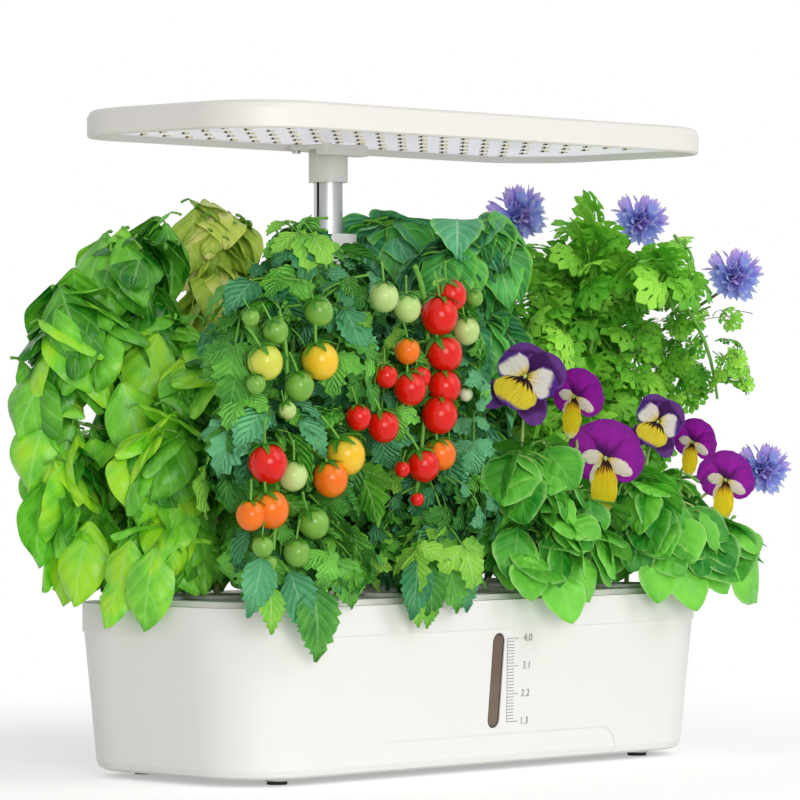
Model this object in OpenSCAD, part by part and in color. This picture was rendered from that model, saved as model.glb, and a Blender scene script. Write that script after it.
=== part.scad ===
// Countertop hydroponic garden: a tapered water tank with a level window, a lift-off planting deck
// with twelve net baskets, a telescopic lamp post and a flat grow lamp above the plants.
// Millimetres, +Z up. The origin is on the table plane, under the middle of the tank.
// -Y is the front, with the level window; +X is the right end.

/* [Tank] */
// Length of the tank over its rim band
tank_l = 400; // [390:1:430]
// Depth of the tank over its rim band
tank_d = 170; // [166:1:190]
// Height of the tank's top edge above the table
tank_top = 99; // [95:1:130]
// Plan radius of the tank's corners at the rim
tank_r = 50; // [38:1:56]
// Height of the proud rim band
rim_band_h = 16.5; // [12:0.5:24]
// How far the rim band stands out from the body
rim_proud = 1; // [0.6:0.1:2]
// How far each side draws in from the rim band to the bottom
taper = 8; // [4:0.5:12]
// Radius of the bottom edge
bottom_r = 5; // [3:0.5:8]
// Wall thickness of the tank
wall = 2.6; // [2:0.2:3.6]
// Thickness of the tank's floor
floor_t = 3; // [2:0.5:5]
// Width of the ledge that carries the deck
ledge_w = 4.2; // [3:0.2:6]
// Depth of the recess that outlines the plinth
plinth_recess = 0.8; // [0.4:0.1:1.2]
// Width of the plinth recess
plinth_w = 212; // [160:1:260]
// Height of the plinth recess above the table
plinth_h = 21.4; // [16:0.2:28]

/* [Feet] */
// Height of the tank's underside above the table
foot_h = 4; // [3:0.5:7]
// Thickness of the rubber pad under each foot
pad_t = 2; // [1.5:0.1:2.5]
// Diameter of the rubber pad
pad_d = 11.5; // [9:0.5:14]
// Distance of the feet from the middle, along the length
foot_x = 152; // [120:1:160]
// Distance of the feet from the middle, along the depth
foot_y = 54; // [35:1:58]

/* [Level window] */
// Width of the level window
window_w = 10; // [7:0.5:14]
// Height of the window's lower end above the table
window_z0 = 25; // [20:0.5:35]
// Height of the window's upper end above the table
window_z1 = 80; // [65:0.5:81]
// Place of the window along the front
window_x = -2; // [-40:1:40]

/* [Deck] */
// Thickness of the deck's skin
deck_t = 4; // [3.5:0.5:5]
// Height of the deck's raised field above the tank's edge
field_rise = 3; // [2:0.5:5]
// Border of flat deck round the raised field, at the long sides
field_border = 6.2; // [5:0.2:9]
// Running gap between the deck and the tank's rim
deck_gap = 0.4; // [0.3:0.1:0.8]
// Depth of the skirt that centres the deck
skirt_h = 8; // [5:0.5:12]

/* [Pods] */
// Distance of the two inner columns of pods from the middle
pod_inner_x = 52; // [50:1:56]
// Pitch of the pods along the length
pod_pitch_x = 94; // [88:1:96]
// Distance of the outer rows of pods from the tank's front and back
row_inset = 35; // [34:0.5:38]
// Diameter of the holes for the net baskets
pod_hole_d = 31; // [29:0.5:33]
// Diameter of the basket's flange
basket_flange_d = 38; // [36:0.5:40]
// Depth of the basket below the deck
basket_h = 42; // [34:1:48]
// Wall thickness of the basket
basket_wall = 1.3; // [1:0.1:2]
// Number of slots round a basket
basket_slots = 8; // [6:1:10]

/* [Post] */
// Outer diameter of the fixed lower tube
tube_d = 24; // [22:0.5:26]
// Wall thickness of the lower tube
tube_wall = 1.8; // [1.4:0.1:2.2]
// Height of the lower tube's top above the table
tube_top = 303; // [285:1:310]
// Diameter of the sliding inner pole
pole_d = 17.3; // [15:0.1:18]
// Distance of the post's axis from the tank's back
post_inset = 27.5; // [25:0.5:29]
// Diameter of the guide bush on top of the lower tube
bush_d = 34; // [30:1:36]
// How far the lamp can be raised
lamp_travel = 150; // [80:5:150]

/* [Lamp] */
// Length of the lamp
lamp_l = 400; // [360:1:420]
// Depth of the lamp
lamp_d = 168; // [160:1:190]
// Plan radius of the lamp's corners
lamp_r = 48; // [38:1:56]
// Height of the lamp's lower edge above the table, at rest
lamp_z = 363; // [355:1:390]
// Thickness of the lamp
lamp_t = 16; // [14:0.5:22]
// Distance of the lamp's rear edge behind the post's axis
lamp_back = 22.5; // [21:0.5:28]
// Wall thickness of the lamp's shell
lamp_wall = 2.4; // [2:0.1:3]
// How far the light board sits inside the lower edge
board_recess = 4; // [3.5:0.5:5]
// Diameter of the collar under the lamp
collar_d = 23.4; // [22:0.1:26]
// Height of the collar under the lamp
collar_h = 19; // [15:0.5:24]
// Number of light rows across the board
led_rows = 6; // [4:1:7]
// Number of light columns along the board
led_cols = 18; // [10:1:20]

/* [Pump] */
// Length of the pump along X
pump_l = 42; // [38:1:48]
// Depth of the pump along Y
pump_w = 34; // [32:1:38]
// Height of the pump
pump_h = 30; // [30:1:34]
// Number of vanes on the impeller
impeller_vanes = 6; // [4:1:8]

/* [Hidden] */
$fn = 48;
// Small distance by which a cut runs past a face
past = 1;
// Radial running clearance of sliding and turning round fits
run_gap = 0.08;

// Tank
body_top = tank_top - rim_band_h;
deck_z = tank_top - deck_t;
field_z = tank_top + field_rise;
cavity_inset_top = wall + rim_proud + ledge_w - 1.2;
cavity_inset_bottom = taper + wall;
rim_wall = cavity_inset_top - ledge_w;
pad_peg_d = 4;
pad_peg_h = 2.5;
plinth_r = 14;

// Window
window_flange = 3;
gasket_t = 1.5;
pane_gap = 0.1;

// Deck
deck_inset = rim_wall + deck_gap;
deck_l = tank_l - 2 * deck_inset;
deck_d = tank_d - 2 * deck_inset;
field_d = deck_d - 2 * field_border;
field_l = deck_l - 2 * (field_border + 1);
skirt_t = 2;
skirt_inset = cavity_inset_top + deck_gap + 1.2;
vent_w = 1.6;
vent_l = 7;
pod_pitch_y = tank_d / 2 - row_inset;

// Filler opening and flap
flap_w = 40;
flap_d = 25.5;
flap_t = 2.4;
flap_gap = 0.3;
flap_lip = 3;
pin_d = 2.5;
pin_y = -pod_pitch_y * 0.75;
pin_z = field_z - 3;
knuckle_r = 2.6;
lug_w = 6;
finger_d = 14;
finger_t = 2.6;

// Post base
post_y = tank_d / 2 - post_inset;
base_w = 60;
base_y0 = post_y - 21.5;
base_y1 = post_y + 17.5;
base_h = 16;
base_wall = 2;
base_top = field_z + base_h;
base_r = 7;
button_x = 21.5;
button_d = 9;
button_flange_d = 11;
button_travel = 1.2;
button_proud = 1.5;
pcb_t = 1.6;
pcb_z = field_z + 3;
pcb_gap = 0.5;
base_screw_d = 2.9;
base_screw_x = 23;
base_screw_y = base_y0 + 6.5;
jack_z = field_z + 9.5;
jack_x = 14;
jack_d = 8;
jack_bore_d = 5.5;
jack_len = base_wall + 4.4;
jack_rim = 0.8;
jack_back = 1.2;

// Post
tube_bottom = deck_z - 12;
tube_id = tube_d - 2 * tube_wall;
bush_h = 10;
bush_spigot = 18;
pole_wall = 1.5;
pole_groove_w = 2;
pole_groove_t = 1.1;
pole_top = lamp_z - 2;
glide_h = 12;
pole_bottom = tube_top - lamp_travel - bush_spigot - glide_h - 6;

// Lamp
lamp_y = post_y + lamp_back - lamp_d / 2;
board_t = 1.6;
board_z = lamp_z + board_recess;
board_inset = lamp_wall + 0.4;
lamp_top = lamp_z + lamp_t;
flange_t = 3;
bracket_w = 37;
bracket_y0 = post_y - 16.5;
bracket_y1 = post_y + 15.5;
bracket_block_d = 10;
bracket_block_h = 6.5;
bracket_gap = 1;
bracket_z = board_z - bracket_gap;
lamp_screw_x = 14;
lamp_screw_dy = 13;
lamp_screw_d = 2.9;
lamp_screw_head_d = 5;
chip_s = 2.8;
chip_h = 0.7;

// Pump
pump_y = 4;
pump_z0 = foot_h + floor_t;
pump_z1 = pump_z0 + pump_h;
riser_d = 8;
riser_y = pump_y + 9;
chamber_d = 24;
chamber_t = 8;
rotor_d = 12;
rotor_l = 12;
shaft_d = 2;
duct_d = 4;
nozzle_h = 8;
nozzle_d = riser_d + 4;
pipe_seat_z = pump_z1 - 2;
impeller_z = pump_z0 + pump_h / 2;
pump_front = pump_y - pump_w / 2;
cover_t = 3;
cover_frame = 7;
lead_d = 3.6;
lead_x = 13;

// Pods
pod_x = [-pod_inner_x - pod_pitch_x, -pod_inner_x, pod_inner_x, pod_inner_x + pod_pitch_x];
pod_y = [-pod_pitch_y, 0, pod_pitch_y];
pod_top = field_z + 2;
sponge_h = 30;
sponge_d = 22;
sponge_hole_d = 6;
sponge_floor = 8;
stem_r = 2.6;
stem_foot = field_z - basket_h + basket_wall + sponge_floor;
pod_lift = 45;

// Plants: the space of one plant ends at these planes, so that neighbours stay apart
cell_gap = 0.5;
col_split = pod_inner_x + pod_pitch_x / 2;
row_split = pod_pitch_y / 2;
front_split = -11;
post_clear = bush_d / 2 + 4;
far = 400;
leaf_fn = 10;
// Parsley leans forward over the low plant in front of it, above pansy_lift_top, and hangs down
// beyond that plant's right end to parsley_hang_z
pansy_lift_top = pod_top + 118 + pod_lift;
parsley_hang_z = pod_top + 98;
low_end_x = pod_x[3] + 68;
parsley_end_x = pod_x[3] + 82;
hang_end_x = pod_x[3] + 88;

// ---------------------------------------------------------------- shared shapes

// An exact rounded rectangle: two crossed rectangles and four discs
module exact_rect(l, d, r) {
    square([l - 2 * r, d], center = true);
    square([l, d - 2 * r], center = true);
    for (sx = [-1, 1], sy = [-1, 1])
        translate([sx * (l / 2 - r), sy * (d / 2 - r)]) circle(r);
}

module rounded_block(l, d, r, h) {
    linear_extrude(h) exact_rect(l, d, r);
}

// A rounded-cornered slab whose edge follows a profile: points of [inset, height], bottom to top
module profiled_slab(l, d, r, profile) {
    z0 = profile[0][1];
    z1 = profile[len(profile) - 1][1];
    cx = l / 2 - r;
    cy = d / 2 - r;
    section = concat([[0, z0]], [for (p = profile) [r - p[0], p[1]]], [[0, z1]]);
    translate([-cx, -cy, z0]) cube([2 * cx, 2 * cy, z1 - z0]);
    for (s = [0, 1])
        rotate([0, 0, 180 * s]) {
            translate([cx, cy, 0]) rotate([90, 0, 0]) linear_extrude(2 * cy) polygon(section);
            translate([-cx, cy, 0]) rotate([90, 0, 90]) linear_extrude(2 * cx) polygon(section);
            translate([cx, cy, 0]) rotate_extrude(angle = 90) polygon(section);
            translate([cx, -cy, 0]) rotate([0, 0, -90]) rotate_extrude(angle = 90) polygon(section);
        }
}

module slot_prism(w, z0, z1, y0, y1) {
    translate([window_x, y1, 0])
        rotate([90, 0, 0])
            linear_extrude(y1 - y0) {
                for (z = [z0 + w / 2, z1 - w / 2])
                    translate([0, z]) circle(w / 2);
                translate([-w / 2, z0 + w / 2]) square([w, z1 - z0 - w]);
            }
}

module tube(d_out, d_in, z0, z1) {
    translate([0, 0, z0])
        difference() {
            cylinder(d = d_out, h = z1 - z0);
            translate([0, 0, -past]) cylinder(d = d_in, h = z1 - z0 + 2 * past);
        }
}

// ---------------------------------------------------------------- tank

// The body below the rim band; extra draws every section in by that much more
module tank_body(extra = 0) {
    profiled_slab(tank_l, tank_d, tank_r, [
        [taper + bottom_r + extra, foot_h + extra],
        [taper + bottom_r * 0.3 + extra, foot_h + bottom_r * 0.3 + extra],
        [taper + extra, foot_h + bottom_r + extra],
        [rim_proud + extra, body_top]
    ]);
}

module tank_cavity(extra = 0) {
    profiled_slab(tank_l, tank_d, tank_r, [
        [cavity_inset_bottom + 3 + extra, foot_h + floor_t + extra],
        [cavity_inset_bottom + extra, foot_h + floor_t + 4 + extra],
        [cavity_inset_top + extra, deck_z + 0.02]
    ]);
}

module plinth_outline() {
    translate([0, -tank_d / 2 + 30, 0])
        rotate([90, 0, 0])
            linear_extrude(60) {
                translate([-plinth_w / 2, 0]) square([plinth_w, plinth_h - plinth_r]);
                translate([-plinth_w / 2 + plinth_r, 0]) square([plinth_w - 2 * plinth_r, plinth_h]);
                for (s = [-1, 1])
                    translate([s * (plinth_w / 2 - plinth_r), plinth_h - plinth_r]) circle(plinth_r);
            }
}

module tank_shell() {
    color("#F3F1EC")
    difference() {
        union() {
            difference() {
                tank_body();
                difference() {
                    plinth_outline();
                    translate([0, plinth_recess, 0]) tank_body();
                }
            }
            translate([0, 0, body_top]) rounded_block(tank_l, tank_d, tank_r, rim_band_h);
            for (sx = [-1, 1], sy = [-1, 1])
                translate([sx * foot_x, sy * foot_y, pad_t]) cylinder(d = pad_d + 2, h = foot_h);
        }
        tank_cavity();
        translate([0, 0, deck_z])
            rounded_block(tank_l - 2 * rim_wall, tank_d - 2 * rim_wall, tank_r - rim_wall, deck_t + past);
        slot_prism(window_w, window_z0, window_z1, -tank_d, -tank_d / 4);
        for (sx = [-1, 1], sy = [-1, 1])
            translate([sx * foot_x, sy * foot_y, pad_t - past]) cylinder(d = pad_peg_d, h = pad_peg_h + past);
    }
}

module rubber_feet() {
    color("#1B1B1B")
    for (sx = [-1, 1], sy = [-1, 1])
        translate([sx * foot_x, sy * foot_y, 0]) {
            cylinder(d = pad_d, h = pad_t);
            cylinder(d = pad_peg_d - 0.1, h = pad_t + pad_peg_h - 0.2);
        }
}

module level_window() {
    color("#64503F")
    intersection() {
        slot_prism(window_w - 2 * pane_gap, window_z0 + pane_gap, window_z1 - pane_gap, -tank_d, -tank_d / 4);
        difference() {
            tank_body(0.6);
            tank_cavity();
        }
    }
}

module window_gasket() {
    color("#2E2723")
    intersection() {
        difference() {
            slot_prism(window_w + 2 * window_flange, window_z0 - window_flange, window_z1 + window_flange,
                       -tank_d, -tank_d / 4);
            slot_prism(window_w - 2, window_z0 + 1, window_z1 - 1, -tank_d, -tank_d / 4 + past);
        }
        difference() {
            tank_cavity();
            tank_cavity(gasket_t);
        }
    }
}

// ---------------------------------------------------------------- deck

module pod_holes(d, z0, z1) {
    for (x = pod_x, y = pod_y)
        translate([x, y, z0]) cylinder(d = d, h = z1 - z0);
}

// Rows of short air slots near both ends of the deck
module end_vents() {
    for (s = [-1, 1], k = [-2:2])
        translate([s * (field_l / 2 - 5), k * 14, deck_z - past])
            linear_extrude(field_rise + deck_t + 2 * past) {
                square([vent_w, vent_l - vent_w], center = true);
                for (e = [-1, 1]) translate([0, e * (vent_l - vent_w) / 2]) circle(d = vent_w);
            }
}

module planting_deck() {
    color("#F5F4F2")
    difference() {
        union() {
            translate([0, 0, deck_z]) rounded_block(deck_l, deck_d, tank_r - deck_inset, deck_t);
            translate([0, 0, deck_z])
                rounded_block(field_l, field_d, tank_r - deck_inset - field_border, deck_t + field_rise);
            // skirt
            translate([0, 0, deck_z - skirt_h])
                difference() {
                    rounded_block(tank_l - 2 * skirt_inset, tank_d - 2 * skirt_inset,
                                  tank_r - skirt_inset, skirt_h + 0.5);
                    translate([0, 0, -past])
                        rounded_block(tank_l - 2 * (skirt_inset + skirt_t), tank_d - 2 * (skirt_inset + skirt_t),
                                      tank_r - skirt_inset - skirt_t, skirt_h + past);
                }
            // seats of the post, the pump's pipe and the flap's pin
            translate([0, post_y, tube_bottom - 2]) cylinder(d = tube_d + 6, h = deck_z - tube_bottom + 3);
            translate([0, riser_y, deck_z - 8]) cylinder(d = riser_d + 5, h = 9);
            for (s = [-1, 1])
                translate([s * (flap_w / 2 + flap_gap + lug_w / 2), pin_y, deck_z + 1])
                    cube([lug_w, 10, 6], center = true);
        }
        // hollow under the raised field
        difference() {
            translate([0, 0, deck_z - past])
                rounded_block(field_l - 6, field_d - 6, tank_r - deck_inset - field_border - 3, field_rise + past);
            translate([0, post_y, deck_z - 20]) cylinder(d = tube_d + 6, h = 40);
            translate([0, riser_y, deck_z - 20]) cylinder(d = riser_d + 5, h = 40);
            for (s = [-1, 1])
                translate([s * (flap_w / 2 + flap_gap + lug_w / 2), pin_y, deck_z])
                    cube([lug_w, 10, 20], center = true);
            for (s = [-1, 1])
                translate([s * base_screw_x, base_screw_y, deck_z - 20]) cylinder(d = 8, h = 40);
        }
        pod_holes(pod_hole_d, deck_z - past, field_z + past);
        end_vents();
        // post socket, pipe socket, screw holes, cable hole
        translate([0, post_y, tube_bottom]) cylinder(d = tube_d + 2 * run_gap, h = 40);
        translate([0, post_y, tube_bottom - 2 - past]) cylinder(d = tube_id, h = 40);
        translate([0, riser_y, deck_z - 8 - past]) cylinder(d = riser_d + 2 * run_gap, h = 10 + past);
        for (s = [-1, 1])
            translate([s * base_screw_x, base_screw_y, deck_z - past]) cylinder(d = base_screw_d + 0.3, h = 20);
        translate([lead_x, base_y0 + 5, deck_z - past]) cylinder(d = lead_d + 1, h = 20);
        // filler opening, the flap's recess, its knuckle and pin
        translate([-flap_w / 2 + flap_lip, pin_y - flap_d + flap_lip, deck_z - past])
            cube([flap_w - 2 * flap_lip, flap_d - 2 * flap_lip - knuckle_r, 20]);
        translate([-flap_w / 2 - flap_gap, pin_y - flap_d - flap_gap, field_z - flap_t - 0.1])
            cube([flap_w + 2 * flap_gap, flap_d + flap_gap, 20]);
        translate([-flap_w / 2 - flap_gap, pin_y - knuckle_r - 0.6, pin_z - knuckle_r - 0.4])
            cube([flap_w + 2 * flap_gap, 2 * knuckle_r + 1.5, 20]);
        translate([-flap_w / 2 - lug_w + 1, pin_y, pin_z])
            rotate([0, 90, 0]) cylinder(d = pin_d + 0.04, h = flap_w + 2 * lug_w - 2);
        translate([0, pin_y - flap_d, field_z - finger_t]) cylinder(d = finger_d, h = 10);
    }
}

module flap_pin() {
    color("#B9BCBF")
    translate([-flap_w / 2 - lug_w + 1.2, pin_y, pin_z])
        rotate([0, 90, 0]) cylinder(d = pin_d, h = flap_w + 2 * lug_w - 2.4);
}

module filler_flap() {
    color("#F5F4F2")
    difference() {
        union() {
            translate([-flap_w / 2, pin_y - flap_d, field_z - flap_t]) cube([flap_w, flap_d, flap_t]);
            translate([-flap_w / 2, pin_y, pin_z])
                rotate([0, 90, 0]) cylinder(r = knuckle_r, h = flap_w);
        }
        translate([-flap_w / 2 - past, pin_y, pin_z])
            rotate([0, 90, 0]) cylinder(d = pin_d + 2 * run_gap, h = flap_w + 2 * past);
    }
}

// ---------------------------------------------------------------- net baskets, sponges

module basket(col, row) {
    inner_top = pod_hole_d / 2 - 0.4;
    inner_bottom = pod_hole_d / 2 - 4.5;
    color("#F0EEE9")
    translate([pod_x[col], pod_y[row], field_z])
        difference() {
            rotate_extrude()
                polygon([[inner_top - basket_wall, -4], [inner_top - basket_wall, 2], [basket_flange_d / 2, 2],
                         [basket_flange_d / 2, 0], [inner_top, 0], [inner_top, -4],
                         [inner_bottom, -basket_h], [0, -basket_h], [0, -basket_h + basket_wall],
                         [inner_bottom - basket_wall, -basket_h + basket_wall]]);
            for (k = [0:basket_slots - 1])
                rotate([0, 0, 360 / basket_slots * (k + 0.5)])
                    translate([inner_bottom - 5, -1.6, -basket_h + 4]) cube([12, 3.2, basket_h - 14]);
            translate([0, 0, -basket_h - past]) cylinder(d = 6, h = 2 * past + basket_wall);
        }
}

module sponge(col, row) {
    color("#3B332C")
    translate([pod_x[col], pod_y[row], field_z - basket_h + basket_wall])
        difference() {
            cylinder(d1 = sponge_d - 3.4, d2 = sponge_d, h = sponge_h);
            translate([0, 0, sponge_floor]) cylinder(d = sponge_hole_d, h = sponge_h);
        }
}

module grow_sponges() {
    for (c = [0:3], r = [0:2])
        if (!(r == 0 && c >= 2)) sponge(c, r);
}

// ---------------------------------------------------------------- post base and controls

module post_base() {
    base_d = base_y1 - base_y0;
    mid = (base_y0 + base_y1) / 2;
    color("#F3F1EC")
    difference() {
        union() {
            difference() {
                translate([0, mid, field_z]) rounded_block(base_w, base_d, base_r, base_h);
                translate([0, mid, field_z - past])
                    rounded_block(base_w - 2 * base_wall, base_d - 2 * base_wall, base_r - base_wall,
                                  base_h - base_wall + past);
            }
            // boss round the tube, screw posts
            translate([0, post_y, field_z]) cylinder(d = tube_d + 4, h = base_h);
            for (s = [-1, 1])
                translate([s * base_screw_x, base_screw_y, field_z]) cylinder(d = 7, h = base_h - base_wall + 0.5);
        }
        translate([0, post_y, field_z - past]) cylinder(d = tube_d + 2 * run_gap, h = base_h + 2 * past);
        for (s = [-1, 1]) {
            translate([s * button_x, post_y + 3, base_top - base_wall - past])
                cylinder(d = button_d + 0.4, h = base_wall + 2 * past);
            translate([s * base_screw_x, base_screw_y, field_z - past])
                cylinder(d = base_screw_d, h = 10 + past);
        }
        translate([jack_x, base_y1 + past, jack_z])
            rotate([90, 0, 0]) cylinder(d = jack_d + 0.1, h = base_wall + 2 * past);
    }
}

module base_screws() {
    color("#B9BCBF")
    for (s = [-1, 1])
        translate([s * base_screw_x, base_screw_y, deck_z + field_rise]) {
            translate([0, 0, -1.8 - field_rise]) cylinder(d = 5.4, h = 1.8);
            translate([0, 0, -field_rise]) cylinder(d = base_screw_d - 0.1, h = 15);
        }
}

// Circuit board under the buttons, with one press switch for each
module control_board() {
    mid = (base_y0 + base_y1) / 2;
    color("#2F6B45")
    difference() {
        union() {
            translate([0, mid, pcb_z])
                rounded_block(base_w - 2 * base_wall - 2 * pcb_gap, base_y1 - base_y0 - 2 * base_wall - 2 * pcb_gap,
                              base_r - base_wall - pcb_gap, pcb_t);
            for (s = [-1, 1])
                translate([s * button_x, post_y + 3, pcb_z + pcb_t + 1.7]) cube([6, 6, 3.5], center = true);
            for (s = [-1, 1])
                translate([s * (base_w / 2 - 7), base_y1 - 8, field_z]) cylinder(d = 3, h = pcb_z - field_z + 0.5);
        }
        translate([0, post_y, field_z - past]) cylinder(d = tube_d + 5, h = base_h);
        for (s = [-1, 1])
            translate([s * base_screw_x, base_screw_y, field_z - past]) cylinder(d = 7.6, h = base_h);
        translate([-tube_d / 2 - 1, post_y, field_z - past]) cube([tube_d + 2, base_y1 - post_y, base_h]);
    }
}

module dc_inlet() {
    color("#26282A")
    translate([jack_x, base_y1, jack_z])
        rotate([90, 0, 0])
            difference() {
                union() {
                    cylinder(d = jack_d, h = jack_len);
                    translate([0, 0, -jack_rim]) cylinder(d = jack_d + 3, h = jack_rim);
                }
                translate([0, 0, -past]) cylinder(d = jack_bore_d, h = jack_len - jack_back + past);
            }
}

module push_button(side) {
    translate([side * button_x, post_y + 3, 0]) {
        translate([0, 0, base_top - base_wall - 1]) cylinder(d = button_d, h = base_wall + 1 + button_proud);
        translate([0, 0, base_top - base_wall - 1.6]) cylinder(d = button_flange_d, h = 1.5);
        translate([0, 0, pcb_z + pcb_t + 3.45 + button_travel + 0.1])
            cylinder(d = 3, h = base_top - pcb_z - pcb_t - 5.5 - button_travel);
    }
}

module power_button() {
    color("#E9E7E3") push_button(-1);
}

module timer_button() {
    color("#E9E7E3") push_button(1);
}

// ---------------------------------------------------------------- post

module lower_tube() {
    color("#E6E5E2")
    translate([0, post_y, 0]) tube(tube_d, tube_id, tube_bottom, tube_top);
}

// The groove that keeps the lamp square faces -X
module pole_section(grow = 0) {
    difference() {
        circle(d = pole_d + 2 * grow);
        translate([-pole_d / 2 - 2, -pole_groove_w / 2 + grow])
            square([pole_groove_t + 2 - grow, pole_groove_w - 2 * grow]);
    }
}

module guide_bush() {
    color("#DEDCD8")
    translate([0, post_y, 0])
        difference() {
            union() {
                translate([0, 0, tube_top]) cylinder(d = bush_d, h = bush_h);
                translate([0, 0, tube_top - bush_spigot]) cylinder(d = tube_id - 0.1, h = bush_spigot + 1);
            }
            translate([0, 0, tube_top - bush_spigot - past])
                linear_extrude(bush_spigot + bush_h + 2 * past) pole_section(run_gap);
        }
}

module inner_pole() {
    color("#C9CBCC")
    translate([0, post_y, pole_bottom])
        linear_extrude(pole_top - pole_bottom)
            difference() {
                pole_section();
                circle(d = pole_d - 2 * pole_wall - 1.6);
            }
}

// Ring on the pole's foot that slides in the lower tube
module pole_glide() {
    core_d = pole_d - 2 * pole_wall - 1.8;
    color("#2A2A2A")
    translate([0, post_y, pole_bottom]) {
        translate([0, 0, -4]) cylinder(d = tube_id - 2 * run_gap, h = 4);
        cylinder(d = core_d, h = glide_h);
    }
}

// ---------------------------------------------------------------- lamp

module lamp_bracket() {
    mid = (bracket_y0 + bracket_y1) / 2;
    flange_z = bracket_z - flange_t;
    color("#EFEDE8")
    difference() {
        union() {
            translate([0, mid, flange_z]) rounded_block(bracket_w, bracket_y1 - bracket_y0, 3, flange_t);
            translate([0, bracket_y0 + bracket_block_d / 2, bracket_z - bracket_block_h])
                rounded_block(bracket_w, bracket_block_d, 3, bracket_block_h);
            translate([0, post_y, lamp_z - collar_h]) cylinder(d = collar_d, h = bracket_z - lamp_z + collar_h);
            for (sx = [-1, 1], sy = [-1, 1])
                translate([sx * lamp_screw_x, post_y + sy * lamp_screw_dy, bracket_z - 0.5])
                    cylinder(d = 6, h = bracket_gap + 0.5);
        }
        translate([0, post_y, lamp_z - collar_h - past])
            linear_extrude(pole_top - lamp_z + collar_h + past) pole_section(0.04);
        for (sx = [-1, 1], sy = [-1, 1])
            translate([sx * lamp_screw_x, post_y + sy * lamp_screw_dy, 0]) {
                translate([0, 0, flange_z - past]) cylinder(d = lamp_screw_d + 0.3, h = flange_t + 3);
                translate([0, 0, lamp_z - collar_h]) cylinder(d = lamp_screw_head_d + 0.6, h = flange_z - lamp_z + collar_h);
            }
    }
}

module lamp_shell() {
    ledge_z = board_z + board_t;
    roof_z = lamp_top - lamp_wall;
    color("#F3F1EC")
    difference() {
        translate([0, lamp_y, 0])
            profiled_slab(lamp_l, lamp_d, lamp_r, [
                [1, lamp_z], [0, lamp_z + 1], [0, lamp_top - 5], [1.4, lamp_top - 2],
                [3.4, lamp_top - 0.7], [8, lamp_top]
            ]);
        translate([0, lamp_y, lamp_z - past])
            rounded_block(lamp_l - 2 * lamp_wall, lamp_d - 2 * lamp_wall, lamp_r - lamp_wall,
                          ledge_z - lamp_z + past);
        difference() {
            translate([0, lamp_y, lamp_z])
                rounded_block(lamp_l - 2 * (lamp_wall + 3), lamp_d - 2 * (lamp_wall + 3), lamp_r - lamp_wall - 3,
                              roof_z - lamp_z);
            // ribs and screw posts
            for (x = [-2:2])
                translate([x * lamp_l / 6 - 0.8, lamp_y - lamp_d / 2, ledge_z]) cube([1.6, 60, 20]);
            for (sx = [-1, 1], sy = [-1, 1])
                translate([sx * lamp_screw_x, post_y + sy * lamp_screw_dy, ledge_z]) cylinder(d = 7, h = 20);
        }
        for (sx = [-1, 1], sy = [-1, 1])
            translate([sx * lamp_screw_x, post_y + sy * lamp_screw_dy, ledge_z - past])
                cylinder(d = lamp_screw_d, h = 6 + past);
    }
}

module light_board() {
    color("#E2E2EE")
    translate([0, 0, board_z])
        difference() {
            translate([0, lamp_y, 0])
                rounded_block(lamp_l - 2 * board_inset, lamp_d - 2 * board_inset, lamp_r - board_inset, board_t);
            for (sx = [-1, 1], sy = [-1, 1])
                translate([sx * lamp_screw_x, post_y + sy * lamp_screw_dy, -past])
                    cylinder(d = lamp_screw_d + 0.3, h = board_t + 2 * past);
        }
}

// Light chips in staggered rows; the ones that the bracket would cover are left out
module light_chips() {
    pitch_x = (lamp_l - 2 * lamp_r) / (led_cols - 1);
    pitch_y = (lamp_d - 40) / (led_rows - 1);
    color("#F2E9C8")
    for (i = [0:led_cols - 1], j = [0:led_rows - 1]) {
        x = (i - (led_cols - 1) / 2) * pitch_x + (j % 2 - 0.5) * pitch_x / 2;
        y = lamp_y + (j - (led_rows - 1) / 2) * pitch_y;
        under_bracket = abs(x) < bracket_w / 2 + chip_s && y > bracket_y0 - chip_s;
        if (!under_bracket)
            translate([x - chip_s / 2, y - chip_s / 2, board_z - chip_h]) cube([chip_s, chip_s, chip_h]);
    }
}

module lamp_screws() {
    color("#B9BCBF")
    for (sx = [-1, 1], sy = [-1, 1])
        translate([sx * lamp_screw_x, post_y + sy * lamp_screw_dy, bracket_z - flange_t]) {
            translate([0, 0, -1.8]) cylinder(d = lamp_screw_head_d, h = 1.8);
            cylinder(d = lamp_screw_d - 0.1, h = flange_t + bracket_gap + board_t + 5.5);
        }
}

module light_driver() {
    color("#6F747A")
    translate([-60, lamp_y - 11, board_z + board_t]) cube([48, 22, lamp_t - board_recess - board_t - lamp_wall - 1]);
}

// ---------------------------------------------------------------- pump

module pump_riser() {
    color("#D8D6D2")
    difference() {
        translate([0, riser_y, 0]) tube(riser_d, riser_d - 2.4, pipe_seat_z, deck_z + 1.5);
        // outlets through which the water falls back into the tank
        translate([-riser_d, riser_y, deck_z - 13]) rotate([0, 90, 0]) cylinder(d = 3, h = 2 * riser_d);
    }
}

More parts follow.
